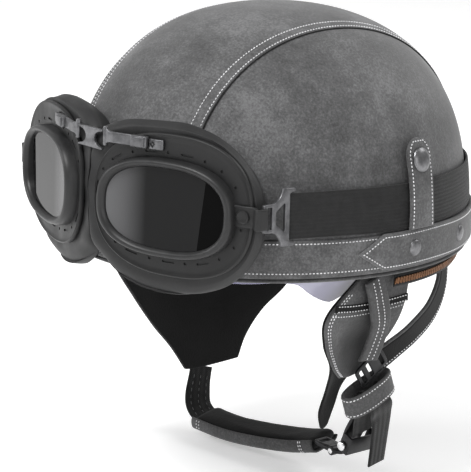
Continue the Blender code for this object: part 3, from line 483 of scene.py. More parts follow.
def plate(name, patch, low, high, look, body, nu, nv, edge=1.0, both=False, swell=None, painted_hollow_shade=None, **more):
    """A skin between two offsets of a patch, with rounded edges. swell is a function of u and v, and so is the optional
    mask of painted shade for a hollow.
    """
    us = np.linspace(0, 1, nu + 1) if patch.wrap else lines(nu, patch.long.mean(), edge)
    vs = lines(nv, patch.wide.mean(), edge)
    u, v = np.meshgrid(us, vs, indexing="ij")
    p, n = patch.at(u, v)
    across = np.concatenate([np.zeros((len(us), 1)), np.linalg.norm(np.diff(p, axis=1), axis=-1).cumsum(1)], 1)
    along = np.concatenate([np.zeros((1, len(vs))), np.linalg.norm(np.diff(p, axis=0), axis=-1).cumsum(0)], 0)
    near = np.minimum(across, across[:, -1:] - across)
    if not patch.wrap:
        near = np.minimum(near, np.minimum(along, along[-1:] - along))
    round_off = np.maximum(np.sqrt(1 - (1 - np.clip(near / edge, 0, 1)) ** 2), 0.12)
    extra = swell(u, v) * round_off if swell else 0.0
    low, high = (f(u, v) if callable(f) else f for f in (low, high))
    if both:
        middle, half = (low + high) / 2, (high - low) / 2 * round_off
        top, under = middle + half + extra, middle - half + 0 * u
    else:
        top, under = low + (high - low) * round_off + extra, low + 0 * u
    rows, cols = u.shape
    points = np.concatenate([(p + n * top[..., None]).reshape(-1, 3), (p + n * under[..., None]).reshape(-1, 3)])
    shift = rows * cols
    faces = grid_faces(rows, cols) + grid_faces(rows, cols, shift=shift, flip=True)
    for a, b in [(j, j + 1) for j in range(cols - 1)]:
        if not patch.wrap:
            faces.append((a, a + shift, b + shift, b))
            a, b = a + shift - cols, b + shift - cols
            faces.append((a, b, b + shift, a + shift))
    for i in range(rows - 1):
        a, b = i * cols, (i + 1) * cols
        faces.append((a, b, b + shift, a + shift))
        a, b = a + cols - 1, b + cols - 1
        faces.append((a, a + shift, b + shift, b))
    uv = np.stack([along, across], -1).reshape(-1, 2)
    marks = None
    # painted shade: the mask is stored on the points so the leather material darkens the hollow
    if painted_hollow_shade:
        shade = painted_hollow_shade(u, v).ravel()
        marks = {"painted_hollow_shade": np.concatenate([shade, shade])}
    return add(name, points, faces, look, body, uv=np.concatenate([uv, uv]), marks=marks, **more)


def distances(points):
    """How far along the line each of its points lies."""
    return np.concatenate([[0], np.linalg.norm(np.diff(points, axis=0), axis=1).cumsum()])


SEWN = {}


def sew(body, points, normals, look="thread", pitch=2.35, length=1.65, radius=0.40, closed=False):
    """A run of stitches along a line of points; they lie on the surface and dip in at both ends."""
    if closed:
        points, normals = np.concatenate([points, points[:1]]), np.concatenate([normals, normals[:1]])
    run = distances(points)
    count = max(int(run[-1] / pitch), 1)
    middle = (np.arange(count) + 0.5) * run[-1] / count
    steps = np.linspace(-0.5, 0.5, 6) * length
    at = np.clip(middle[:, None] + steps, 0, run[-1])
    p = np.stack([np.interp(at, run, points[:, k]) for k in range(3)], -1)
    n = unit(np.stack([np.interp(at, run, normals[:, k]) for k in range(3)], -1))
    t = unit(p[:, -1:] - p[:, :1])
    side = unit(np.cross(n, np.broadcast_to(t, n.shape)))
    shape = np.sqrt(np.clip(1 - (2 * steps / length) ** 2, 0.05, 1))
    turn = around(6)
    ring = (side[:, :, None] * np.cos(turn)[:, None] + n[:, :, None] * np.sin(turn)[:, None]) * radius
    rings = p[:, :, None] + ring * shape[:, None, None] + n[:, :, None] * (shape[:, None, None] - 0.75) * radius
    SEWN.setdefault((body, look), []).append(rings)


def finish_sewing():
    for (body, look), runs in SEWN.items():
        rings = np.concatenate(runs)
        faces = []
        one = grid_faces(6, 6, wrap=True) + [tuple(range(6)), tuple(reversed(range(30, 36)))]
        for k in range(len(rings)):
            faces += [tuple(36 * k + i for i in face) for face in one]
        label = "stitching" if look == "thread" else "dark_stitching"
        add(f"{label}_{body}", rings, faces, look, body, weld=False)


def sew_patch(patch, body, us, vs, off, **more):
    p, n = patch.at(us, vs)
    sew(body, p + n * off, n, **more)


UPRIGHT = [(0, 0, 1), (0, 0, 1)]


def ribbon(path, wide, width, count=90, cols=9):
    """Patch of a flat strap along a smooth path; wide lists width directions from start to end."""
    line = catmull(path, count)
    step = unit(np.gradient(line, axis=0))
    wide = np.asarray(wide, float)
    share = np.linspace(0, 1, count) * (len(wide) - 1)
    across = np.stack([np.interp(share, np.arange(len(wide)), wide[:, k]) for k in range(3)], -1)
    across = unit(across - step * (across * step).sum(-1, keepdims=True))
    normal = np.cross(step, across)
    reach = np.asarray(width(np.linspace(0, 1, count)) if callable(width) else np.full(count, float(width)))
    v = np.linspace(-0.5, 0.5, cols)
    points = line[:, None] + across[:, None] * (v[None, :] * reach[:, None])[..., None]
    return Patch(points, np.repeat(normal[:, None], cols, 1))


def lathe(name, outline, centre, axis, look, body, count=40, sharp=40, **more):
    """Solid of revolution from (radius, height) pairs."""
    axis = unit(np.asarray(axis, float))
    side = unit(np.cross(axis, [0.3, 0.2, 0.9]))
    other = np.cross(axis, side)
    turn = around(count)
    ring = np.outer(np.cos(turn), side) + np.outer(np.sin(turn), other)
    loops = [np.asarray(centre) + axis * h + ring * max(r, 0.02) for r, h in outline]
    return loft(name, loops, look, body, closed=False, caps=True, sharp=sharp, **more)


def frame_of(origin, u_axis, v_axis):
    u, v = unit(np.asarray(u_axis, float)), np.asarray(v_axis, float)
    v = unit(v - u * (u @ v))
    return np.asarray(origin, float), u, v, np.cross(u, v)


def slab(name, outline, place, span, look, body, holes=(), bevel=0.35, **more):
    """Flat plate from an outline, with through holes and eased edges."""
    origin, u, v, n = place

    def prism(shape, low, high):
        shape = np.asarray(shape, float)
        ends = [origin + np.outer(shape[:, 0], u) + np.outer(shape[:, 1], v) + n * h for h in (low, high)]
        count = len(shape)
        faces = [tuple(range(count)), tuple(reversed(range(count, 2 * count)))]
        faces += [(i, (i + 1) % count, (i + 1) % count + count, i + count) for i in range(count)]
        return np.concatenate(ends), faces
    obj = add(name, *prism(outline, *span), look, body, **more)
    if len(holes):
        points, faces = [], []
        for hole in holes:
            p, f = prism(hole, span[0] - 2, span[1] + 2)
            faces += [tuple(i + sum(len(q) for q in points) for i in face) for face in f]
            points.append(p)
        carve(obj, np.concatenate(points), faces)
    if bevel:
        ease(obj, bevel)
    return obj


def carve(obj, points, faces):
    tool_mesh = bpy.data.meshes.new("tool")
    tool_mesh.from_pydata((np.asarray(points) * MM).tolist(), [], faces)
    with editing(tool_mesh) as bm:
        bmesh.ops.recalc_face_normals(bm, faces=bm.faces)
    tool = in_scene("tool", tool_mesh)
    cut = obj.modifiers.new("cut", "BOOLEAN")
    cut.operation, cut.solver, cut.object = "DIFFERENCE", "EXACT", tool
    settle(obj)
    bpy.data.objects.remove(tool)


def ease(obj, width):
    soft = obj.modifiers.new("ease", "BEVEL")
    soft.width, soft.segments = width * MM, 2
    soft.limit_method, soft.angle_limit = "ANGLE", math.radians(35)
    settle(obj)
    obj.data.shade_smooth()
    obj.data.set_sharp_from_angle(angle=math.radians(50))


def settle(obj):
    """Applies the modifiers, keeping the material."""
    bpy.context.view_layer.update()
    graph = bpy.context.evaluated_depsgraph_get()
    mesh = bpy.data.meshes.new_from_object(obj.evaluated_get(graph), preserve_all_data_layers=True, depsgraph=graph)
    old = obj.data
    obj.modifiers.clear()
    obj.data = mesh
    bpy.data.meshes.remove(old)


def relax(obj, times):
    with editing(obj.data) as bm:
        for _ in range(times):
            bmesh.ops.smooth_vert(bm, verts=bm.verts, factor=0.5, use_axis_x=True, use_axis_y=True, use_axis_z=True)


def puff(obj, voxel, shrink):
    """Stuffs a pad by a short cloth simulation. No point moves more than 0.9 mm."""
    scene, cap, frames = bpy.context.scene, 0.9, 14
    with editing(obj.data) as bm:
        for vert in bm.verts:
            vert.co -= vert.normal * shrink * MM
    mesher = obj.modifiers.new("voxels", "REMESH")
    mesher.mode, mesher.voxel_size = "VOXEL", voxel * MM
    settle(obj)
    start = np.array([v.co for v in obj.data.vertices])
    world = obj.matrix_world.copy()
    obj.parent = None
    obj.matrix_world = world
    fill = obj.modifiers.new("fill", "CLOTH")
    fill.settings.quality = 4
    fill.settings.mass = 0.15
    fill.settings.use_pressure = True
    fill.settings.uniform_pressure_force = 3.0
    fill.settings.effector_weights.gravity = 0
    fill.settings.tension_stiffness = fill.settings.compression_stiffness = 30
    fill.point_cache.frame_start, fill.point_cache.frame_end = 1, frames
    for step in range(1, frames + 1):
        scene.frame_set(step)
    settle(obj)
    scene.frame_set(1)
    now = np.array([v.co for v in obj.data.vertices])
    move = now - start
    far = np.linalg.norm(move, axis=1, keepdims=True)
    move *= np.minimum(1.0, cap * MM / np.maximum(far, 1e-9))
    obj.data.vertices.foreach_set("co", (start + move).astype(np.float32).ravel())
    fine = obj.modifiers.new("fine", "SUBSURF")
    fine.levels = fine.render_levels = 1
    settle(obj)
    obj.data.shade_smooth()
    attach(obj, obj["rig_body"])
    return obj


def ripple(points, normals, size, height):
    shift = np.array([noise.noise(Vector(p / size)) for p in points.reshape(-1, 3)]).reshape(points.shape[:-1])
    return points + normals * (shift * height)[..., None]


# -------------------------------------------------------------------- helmet

def dome_shell(name, low, high, look, rows=26, cols=96, bottom=0.0, swell=None, **more):
    """Cup between two offsets of the dome, with a rounded rim."""
    t = np.sin(np.linspace(0, np.pi / 2, rows, endpoint=False)) * CROWN
    t[0] = bottom
    angle = around(cols)
    a, z = np.meshgrid(angle, t)
    extra = swell(a, z) if swell else 0.0 * a
    outer, inner = dome(a, z, high), dome(a, z, low - extra)
    middle = (outer[0] + inner[0]) / 2 - [0, 0, 0.4]
    loops = np.concatenate([outer[::-1], middle[None], inner])
    faces = grid_faces(len(loops), cols, wrap=True)
    points = np.concatenate([loops.reshape(-1, 3), [[0, 0, CROWN + high], [0, 0, CROWN + low]]])
    top, last = len(points) - 2, (len(loops) - 1) * cols
    for j in range(cols):
        k = (j + 1) % cols
        faces += [(top, k, j), (top + 1, last + j, last + k)]
    return add(name, points, faces, look, "helmet", **more)


def quilting(a, z):
    """Sewn channels of the comfort liner: pillows between radial seams and one level seam."""
    radial = np.abs(np.sin(a * 4)) ** 0.5
    ring = np.abs(np.cos(np.clip(z / 78.0, 0, 1) * np.pi)) ** 0.5
    return 2.6 * radial * ring * np.clip(z / 8.0, 0, 1) * np.clip((150 - z) / 30.0, 0, 1)


def leather_cover():
    """Three panels. The centre one laps over the side ones and is sewn down twice along each edge."""
    centre_half_width, side_start_x, stitch_insets, count = 52.4, 49.5, (1.6, 7.2), 240
    phi = np.linspace(0, np.pi, count)
    xs = np.linspace(-centre_half_width, centre_half_width, 61)
    x, f = np.meshgrid(xs, phi)
    aim = np.stack([x, -np.cos(f) * 100, np.sin(f) * 100], -1)
    origin = np.stack([x, 0 * x, 0 * x], -1)
    p = cast(aim, origin)
    centre = on_dome(p)

    def seam_dips(u, v):
        from_edge = np.minimum(v, 1 - v) * centre.wide.mean()
        return -0.22 * sum(np.exp(-((from_edge - line) / 0.9) ** 2) for line in stitch_insets)
    plate("leather_center", centre, -1.3, 0.9, "leather", "helmet", 200, 56, edge=1.1, swell=seam_dips,
          replaces=("cover_center",))
    for side, label in SIDES:
        line, outward = centre.at(np.linspace(0.004, 0.996, 300), np.full(300, 0.5 + side * 0.5))
        turn = around(8)
        loops = [line + outward * (0.25 + 0.42 * math.sin(t)) + np.array([side * (0.35 + 0.5 * math.cos(t)), 0, 0])
                 for t in turn]
        loft(f"seam_shadow_{label}", np.stack(loops, 1), "lining", "helmet", closed=False, caps=True)
    run = np.linspace(0.012, 0.988, 900)
    for inset in stitch_insets:
        for mirror in (False, True):
            share = inset / centre.width(run)
            sew_patch(centre, "helmet", run, 1 - share if mirror else share, 0.86)
    for side, label in SIDES:
        k = np.argmin(abs(xs - side * side_start_x))
        seam = p[:, k]
        angle = np.arctan2(seam[[0, -1], 1] / HALF_LENGTH, seam[[0, -1], 0] / HALF_WIDTH)
        if side < 0:
            angle = np.where(angle < 0, angle + 2 * np.pi, angle)
        brim = dome(np.linspace(angle[0], angle[1], count), 0.0)
        v = np.linspace(0, 1, 46)[None, :, None]
        mixed = unit(seam)[:, None] * (1 - v) + unit(brim)[:, None] * v
        body = cast(mixed * 100, (0, 0, 0))
        plate(f"leather_{label}", on_dome(body), -1.4, 0.0, "leather", "helmet", 130, 48, edge=0.6,
              replaces=(f"cover_{label}",))


def brim_leather():
    """Padded band round the brim, sewn along both edges, and the turned edge below it."""
    low_stitch, high_stitch, (bottom, top) = 4.0, 22.4, BRIM_BAND_Z
    angle = np.linspace(0, 2 * np.pi, 361)
    z = np.linspace(*BRIM_BAND_Z, 25)
    a, h = np.meshgrid(angle, z, indexing="ij")
    p = dome(a, h)
    band = on_dome(p, wrap=True)

    def puffed(u, v):
        z = bottom + v * (top - bottom)
        padding = 0.5 * np.sin(np.clip((z - low_stitch) / 18.3, 0, 1) * np.pi)
        return padding - 0.15 * np.exp(-((z - high_stitch) / 0.8) ** 2)
    plate("brim_band_leather", band, 0.7, 2.0, "leather", "helmet", 240, 14, edge=0.9, swell=puffed,
          replaces=("brim_band",))
    u = np.linspace(0, 1, 1600, endpoint=False)
    for z in (high_stitch, low_stitch):
        sew_patch(band, "helmet", u, np.full_like(u, (z - bottom) / (top - bottom)), 2.0, closed=True)
    turn = around(16)
    base = dome(angle[:-1], 0.0)
    out = dome_normal(base)
    loops = [base + out * (-1.6 + 3.5 * np.cos(t)) + np.array([0, 0, -0.95 + 1.45 * np.sin(t)]) for t in turn]
    loft("brim_edge_bead", loops, "leather_strap", "helmet", replaces=("edge_trim",))


def rear_band():
    """Riveted band round the back, with a point at each end."""
    tip, shoulder = (math.asin(y / HALF_LENGTH) for y in REAR_BAND_ENDS_Y)
    angle = np.linspace(tip, math.pi - tip, 420)
    middle = sum(REAR_BAND_Z) / 2
    near = np.minimum(angle - tip, math.pi - tip - angle) / (shoulder - tip)
    share = np.clip(near, 0.03, 1.0)
    wave = 0.45 * np.sin(angle * 9.0) * np.clip(near - 1, 0, 1)
    low = middle + (REAR_BAND_Z[0] - middle) * share + wave * 0.6
    high = middle + (REAR_BAND_Z[1] - middle) * share + wave
    v = np.linspace(0, 1, 21)
    z = low[:, None] + (high - low)[:, None] * v
    p = dome(np.repeat(angle[:, None], 21, 1), z)
    band = on_dome(p)
    plate("rear_band_leather", band, 2.7, 4.6, "leather", "helmet", 230, 14, edge=1.1,
          swell=lambda u, v: 0.25 * np.sin(v * np.pi), replaces=("rear_band",))
    u = np.linspace(0.004, 0.996, 900)
    inset = np.minimum(2.1 / band.width(u), 0.5)
    for vs in (inset, 1 - inset):
        sew_patch(band, "helmet", u, vs, 4.72)
    head = [(5.2, 0), (5.2, 0.5), (4.9, 1.0), (3.9, 1.6), (2.2, 1.95), (0, 2.05)]
    for number, (side, y) in enumerate([(side, y) for side, _ in SIDES for y in RIVET_Y], 1):
        seat = flank(y, RIVET_Z, 4.5, side)
        lathe(f"dome_rivet_{number}", head, seat, dome_normal(seat), "rivet", "helmet",
              replaces=(f"band_rivet_{number}",))


def keeper(side, label):
    """Leather tab over the elastic, with a rounded top, closed by a snap."""
    body, bottom, top, half_width = f"keeper_{label}", 25.9, 80.0, 11.2
    z = np.linspace(bottom, top, 120)
    left = (top - z) / 11.0
    half = half_width * np.where(left >= 1, 1.0, np.maximum(0.12, np.sqrt(np.clip(1 - (1 - left) ** 2, 0, 1))))
    half = half * (1 - 0.05 * np.sin(np.clip((z - bottom) / 44, 0, 1) * np.pi))
    v = np.linspace(-1, 1, 17) * side
    p = flank(KEEPER_Y + half[:, None] * v, np.repeat(z[:, None], 17, 1), 0.0, side)
    tab = on_dome(p)

    def lift(u, v):
        return 4.4 + 0.5 * np.sin(np.clip(u * 1.4, 0, 1) * np.pi) * (1 - (2 * v - 1) ** 2)
    plate(f"keeper_leather_{label}", tab, lift, lambda u, v: lift(u, v) + 1.9, "leather", body, 60, 16, edge=0.95,
          both=True, replaces=(f"keeper_tab_{label}",))
    u = np.linspace(0.01, 1 - 2.2 / 54, 200)
    inset = np.minimum(2.3 / tab.width(u), 0.5)
    us = np.concatenate([u, np.full(12, u[-1]), u[::-1]])
    vs = np.concatenate([inset, np.linspace(inset[-1], 1 - inset[-1], 12), 1 - inset[::-1]])
    p, n = tab.at(us, vs)
    sew(body, p + n * (lift(us, vs) + 1.85)[:, None], n)
    cap = flank(KEEPER_Y, SNAP_Z, 6.5, side)
    button = [(7.6, 0), (7.75, 0.6), (7.4, 1.2), (6.9, 1.35), (6.5, 1.75), (4.2, 2.7), (0, 3.1)]
    lathe(f"snap_button_{label}", button, cap, dome_normal(cap), "rivet", body, count=56,
          replaces=(f"snap_cap_{label}",))
    stud = flank(KEEPER_Y, SNAP_Z, 0.4, side)
    post = [(5.2, 0), (5.2, 0.7), (4.9, 1.0), (3.2, 1.2), (3.0, 1.6), (3.2, 2.6), (2.8, 3.3), (0, 3.4)]
    lathe(f"snap_post_{label}", post, stud, dome_normal(stud), "rivet", "helmet", replaces=(f"snap_stud_{label}",))


def elastic_patch(side, start, end, count=120):
    """Goggle strap on the flank: straight from the buckle to where it meets the dome, then along it."""
    y, z = np.linspace(start, end, count), np.linspace(*ELASTIC_Z, 13)
    yy, zz = np.meshgrid(y, z, indexing="ij")
    p = flank(np.maximum(yy, STRAP_TANGENT_Y), zz, 0.0, side)
    n = dome_normal(p)
    free = yy < STRAP_TANGENT_Y
    share = np.where(free, (yy - start) / (STRAP_TANGENT_Y - start), 1.0)[..., None]
    lean = (zz - sum(ELASTIC_Z) / 2) * 0.985
    at_buckle = np.stack([side * (108.6 - 0.09 * lean), np.full_like(yy, start), 43.0 + lean], -1)
    p = at_buckle * (1 - share) + p * share
    n = unit(np.array([side, 0.02, 0.0]) * (1 - share) + n * share)
    return Patch(p, n)


def elastic():
    for side, label in SIDES:
        strap = elastic_patch(side, -88.5, KEEPER_Y)
        plate(f"elastic_front_{label}", strap, 1.1, 2.7, "elastic", "goggles", 90, 16, edge=0.7, both=True,
              replaces=(f"goggle_strap_{label}",))
    start = math.asin((KEEPER_Y + 3.5) / HALF_LENGTH)
    a, z = np.meshgrid(np.linspace(start, math.pi - start, 260), np.linspace(*ELASTIC_Z, 13), indexing="ij")
    p = dome(a, z)
    plate("elastic_rear", on_dome(p), 1.1, 2.7, "elastic", "helmet", 170, 16, edge=0.7, both=True,
          replaces=("goggle_strap_rear",))


def zipper():
    """Half of a zip under the rear brim: its tape and one row of slanted copper teeth."""
    pitch, slant, height, tooth_z = 1.35, 1.1, 3.6, -8.2
    start = math.asin(1.0 / HALF_LENGTH)
    base = dome(np.linspace(start, math.pi - start, 300), 0.0)
    out = dome_normal(base)
    z = np.linspace(-2.9, -12.5, 9)
    p = base[:, None] + out[:, None] * (-5.5 + 0.35 * np.sin(np.linspace(0, 3, 9)))[None, :, None]
    p = p + np.outer(z, [0, 0, 1])[None]
    tape = Patch(p, np.repeat(out[:, None], 9, 1))
    plate("zip_tape", tape, -0.35, 0.4, "tape", "helmet", 200, 8, edge=0.4, both=True, replaces=("zipper_tape",))
    run = distances(base)
    count = int(run[-1] / pitch)
    points, faces = [], []
    block = np.array([(x, y, h) for h in (-0.5, 0.5) for x, y in ((-1, -1), (1, -1), (1, 1), (-1, 1))], float)
    cube = [(0, 1, 2, 3), (7, 6, 5, 4), (0, 4, 5, 1), (1, 5, 6, 2), (2, 6, 7, 3), (3, 7, 4, 0)]
    for k in range(count):
        s = (k + 0.5) / count * run[-1]
        c, n = (np.array([np.interp(s, run, line[:, i]) for i in range(3)]) for line in (base, out))
        n = unit(n)
        t = np.cross([0, 0, 1.0], n)
        inward, raised = (3.95, 0.25) if k % 2 else (4.2, -0.25)
        middle = c - n * inward + np.array([0, 0, tooth_z + raised])
        corners = middle + block[:, :1] * 0.42 * t + block[:, 1:2] * 0.5 * n
        corners = corners + block[:, 2:] * (np.array([0, 0, height]) + slant * t)
        faces += [tuple(i + len(points) * 8 for i in face) for face in cube]
        points.append(corners)
    add("zip_teeth", np.concatenate(points), faces, "copper", "helmet", replaces=("zipper_teeth",), sharp=30,
        weld=False)


def visor_mesh():
    """Drop-down sun visor, turned about its pivot axis along X."""
    half_width, reach, pivot_z, pin_x = 101.0, 119.0, 10.0, 98.2
    radii = np.concatenate([np.linspace(4.4, 16, 8), np.linspace(20, 113, 26)])
    xs = half_width * np.sqrt(1 - (radii / reach) ** 2)
    x = np.concatenate([xs, [0.0], -xs[::-1]])
    r = np.concatenate([radii, [reach], radii[::-1]])
    fine = np.linspace(0, len(x) - 1, 121)
    x, r = np.interp(fine, np.arange(len(x)), x), np.interp(fine, np.arange(len(r)), r)
    # degrees about the pivot of the lower and upper edges, by distance from the pivot axis
    lower = [(0, -150), (8.5, -150), (12, -62), (16, -60), (46, -45), (58, -19), (68, -14.5), (119, -8.2)]
    low = np.interp(r, *zip(*lower))
    high = np.where(r <= 8.5, 150.0, np.degrees(np.arcsin(np.minimum(0.76, 49 / r))))
    high = np.where((r > 8.5) & (r < 12), 150 + (49.5 - 150) * (r - 8.5) / 3.5, high)
    share = np.linspace(0, 1, 25)
    turn = np.radians(low[:, None] + (high - low)[:, None] * share)
    p = np.stack([np.repeat(x[:, None], 25, 1), -r[:, None] * np.cos(turn), pivot_z + r[:, None] * np.sin(turn)],
                 -1)
    slope = (r / reach ** 2)[:, None]
    n = np.stack([np.repeat((x / half_width ** 2)[:, None], 25, 1), -slope * np.cos(turn), slope * np.sin(turn)], -1)
    plate("visor_lens", Patch(p, unit(n)), -0.95, 0.95, "visor", "visor", 120, 22, edge=0.8, both=True,
          replaces=("sun_visor",))
    pin = [(0, 17.2), (3.6, 17.0), (3.9, 16.6), (3.9, 1.5), (6.2, 1.2), (6.2, 0.3), (5.8, 0), (0, 0)]
    for side, label in SIDES:
        lathe(f"visor_pin_{label}", pin, (side * pin_x, 0, pivot_z), (side, 0, 0), "dark_metal", "helmet",
              replaces=(f"visor_pivot_{label}",))


def crown_cushion():
    """Round pad under the crown, flat below and domed above."""
    turn, radius, floor_z, top_z = around(56), 39.5, 103.2, 113.4
    loops = []
    for share, height in ((0.30, 1.0), (0.70, 0.98), (0.93, 0.85), (1.0, 0.55), (0.99, 0.25), (0.92, 0.05),
                          (0.6, 0), (0.25, 0)):
        r = radius * share
        ring = np.stack([r * np.cos(turn), r * np.sin(turn), np.full(56, floor_z)], -1)
        roof = cast(np.stack([ring[:, 0] * 1.25 + 1e-4, ring[:, 1] * 1.25, np.full(56, CROWN)], -1), (0, 0, 0))
        top = (roof - dome_normal(roof) * 35.6)[:, 2]
        ring[:, 2] += (np.minimum(top, top_z) - floor_z) * height
        loops.append(ring)
    pad = loft("crown_cushion", loops, "padding", "helmet", closed=False, caps=True, replaces=("crown_pad",))
    puff(pad, voxel=2.6, shrink=0.8)
    ring = np.stack([30 * np.cos(turn), 30 * np.sin(turn), np.full(56, 103.0)], -1)
    sew("helmet", ring, np.tile([0, 0, -1.0], (56, 1)), look="dark_thread", closed=True)


# ------------------------------------------------------------------- goggles

EYE, YAW = np.array([51.2, -135.6, 44.2]), math.radians(19.9)
ACROSS, OUT = np.array([math.cos(YAW), math.sin(YAW), 0.0]), np.array([math.sin(YAW), -math.cos(YAW), 0.0])
UPWARD = np.array([0.0, 0.0, 1.0])
# ovals: half width, half height, middle across, middle up, squareness
FLANGE = (np.array([54.6, 43.7, 7.0, 0.4, 2.45]), np.array([43.2, 27.4, 4.3, -0.8, 2.5]))
RIM = (np.array([46.9, 29.9, 4.2, -0.8, 2.5]), np.array([41.0, 25.0, 4.4, -0.8, 2.5]))
PANE = np.array([40.8, 24.8, 4.4, -0.8, 2.5])
RING = 120
FOLD_R, FOLD_LEAN = 30.2, 3.9 / 36.0
LENS_N, LENS_THICK, SIDE_SLOPE = 5.6, 1.8, 0.20
BUCKLE_RUN, BUCKLE_RISE = np.array([-0.105, 0.992, -0.073]), np.array([-0.08, -0.06, 1.0])


def eye(r, z, n, side):
    r, z, n = np.broadcast_arrays(np.asarray(r, float), np.asarray(z, float), np.asarray(n, float))
    p = EYE + r[..., None] * ACROSS + z[..., None] * UPWARD + n[..., None] * OUT
    return turned(p, side)


def turned(v, side):
    """The left side's point or direction, or its mirror image for the right side."""
    return np.asarray(v, float) * np.array([side, 1, 1])


def oval(shape, count=RING, squarer=None):
    half_r, half_z, mid_r, mid_z, power = shape
    a = 2 * np.pi * (np.arange(count) + 0.5) / count
    c, s = np.cos(a), np.sin(a)
    e = np.full(count, power)
    if squarer:
        e = power + (squarer - power) * np.clip(-c * 3, 0, 1) * np.clip(s * 3, 0, 1)
    return (mid_r + half_r * signed(c, 2 / e), mid_z + half_z * signed(s, 2 / e))


def ring_loops(pair, profile, side):
    return [eye(*oval(pair[0] + (pair[1] - pair[0]) * share), n, side) for share, n in profile]


def eyepiece(side, label):
    profile = [(0.03, -1.8), (0, -1.4), (0, 0.5), (0.02, 1.0), (0.06, 1.3), (0.11, 1.05), (0.15, 0.75), (0.3, 0.7),
               (0.55, 0.85), (0.72, 0.9), (0.97, 0.8), (1, 0.5), (1, -1.8)]
    flange = loft(f"goggle_flange_{label}", ring_loops(FLANGE, profile, side), "rubber", "goggles", sharp=48,
                  replaces=(f"goggle_frame_{label}",))
    points, faces = [], []

    def punch(centre, length, turn, radius=1.0):
        a = around(12)
        r, z = radius * np.cos(a) + np.sign(np.cos(a)) * length / 2, radius * np.sin(a)
        rr = centre[0] + r * math.cos(turn) - z * math.sin(turn)
        zz = centre[1] + r * math.sin(turn) + z * math.cos(turn)
        shift = sum(len(q) for q in points)
        points.append(np.concatenate([eye(rr, zz, 0.1, side), eye(rr, zz, 3.0, side)]))
        faces.append(tuple(range(shift, shift + 12)))
        faces.append(tuple(reversed(range(shift + 12, shift + 24))))
        faces.extend((shift + i, shift + (i + 1) % 12, shift + 12 + (i + 1) % 12, shift + 12 + i) for i in range(12))
    r, z = oval(np.array([50.3, 33.4, 4.6, -0.6, 2.5]), 360)
    run = np.concatenate([[0], np.hypot(np.diff(r), np.diff(z)).cumsum()])
    holes = 22
    for k in range(holes):
        i = int(np.searchsorted(run, (k + 0.5) / holes * run[-1]))
        a, b = max(i - 3, 0), min(i + 3, 359)
        turn = math.atan2(z[b] - z[a], r[b] - r[a])
        if r[i] > 30 or k % 2:
            punch((r[i], z[i]), 0.01, turn)
        else:
            punch((r[i], z[i]), 7.0, turn, 0.75)
    carve(flange, np.concatenate(points), faces)
    flange.data.shade_smooth()
    flange.data.set_sharp_from_angle(angle=math.radians(42))

    profile = [(0, 0.75), (0, 4.6), (0.04, 6.4), (0.14, 7.9), (0.32, 8.8), (0.50, 9.0), (0.66, 8.7), (0.80, 8.0),
               (0.90, 7.2), (0.97, 6.6), (1, 5.8), (1, 3.0), (1, 0.8)]
    loft(f"goggle_rim_{label}", ring_loops(RIM, profile, side), "rim", "goggles", sharp=55,
         replaces=(f"lens_rim_{label}",))

    lens_panes(side, label)


def lens_panes(side, label):
    """Two flat panes that meet at a nearly upright fold near the outer side."""
    outline_r, outline_z = oval(PANE, 160)
    start = PANE[2] - PANE[0]

    def beyond(r, z):
        return r - (FOLD_R + z * FOLD_LEAN)

    def depth(r, z):
        return LENS_N - np.maximum(beyond(r, z), 0) * SIDE_SLOPE
    for name, keep, look in (("main", -1, "lens"), ("side", 1, "lens_side")):
        inside = beyond(outline_r, outline_z) * keep > 0.02
        first = int(np.flatnonzero(inside & ~np.roll(inside, 1))[0])
        order = (np.arange(160) + first) % 160
        order = order[inside[order]]
        r, z = outline_r[order], outline_z[order]
        # the fold itself, at the two ends of this part of the outline
        z = np.concatenate([z[:1], z, z[-1:]])
        at_fold = FOLD_R + z[[0, -1]] * FOLD_LEAN + 0.06 * keep
        r = np.concatenate([at_fold[:1], r, at_fold[1:]])
        count, mid_r, mid_z = len(r), r.mean(), z.mean()
        # painted reflection: how far across the pane each point lies, from its inner edge to the fold, for the lens
        # colour gradient
        painted_reflection_share = np.clip((np.concatenate([r, r, [mid_r, mid_r]]) - start) / (FOLD_R - start), 0, 1)
        points = [eye(r, z, depth(r, z), side), eye(r, z, depth(r, z) - LENS_THICK, side)]
        points += [eye(mid_r, mid_z, depth(mid_r, mid_z) - low, side)[None] for low in (0.0, LENS_THICK)]
        faces = [(i, (i + 1) % count, count + (i + 1) % count, count + i) for i in range(count)]
        faces += [(2 * count, (i + 1) % count, i) for i in range(count)]
        faces += [(2 * count + 1, count + i, count + (i + 1) % count) for i in range(count)]
        add(f"lens_{name}_pane_{label}", np.concatenate(points), faces, look, "goggles", sharp=30,
            marks={"share": painted_reflection_share}, replaces=(f"lens_{label}",))


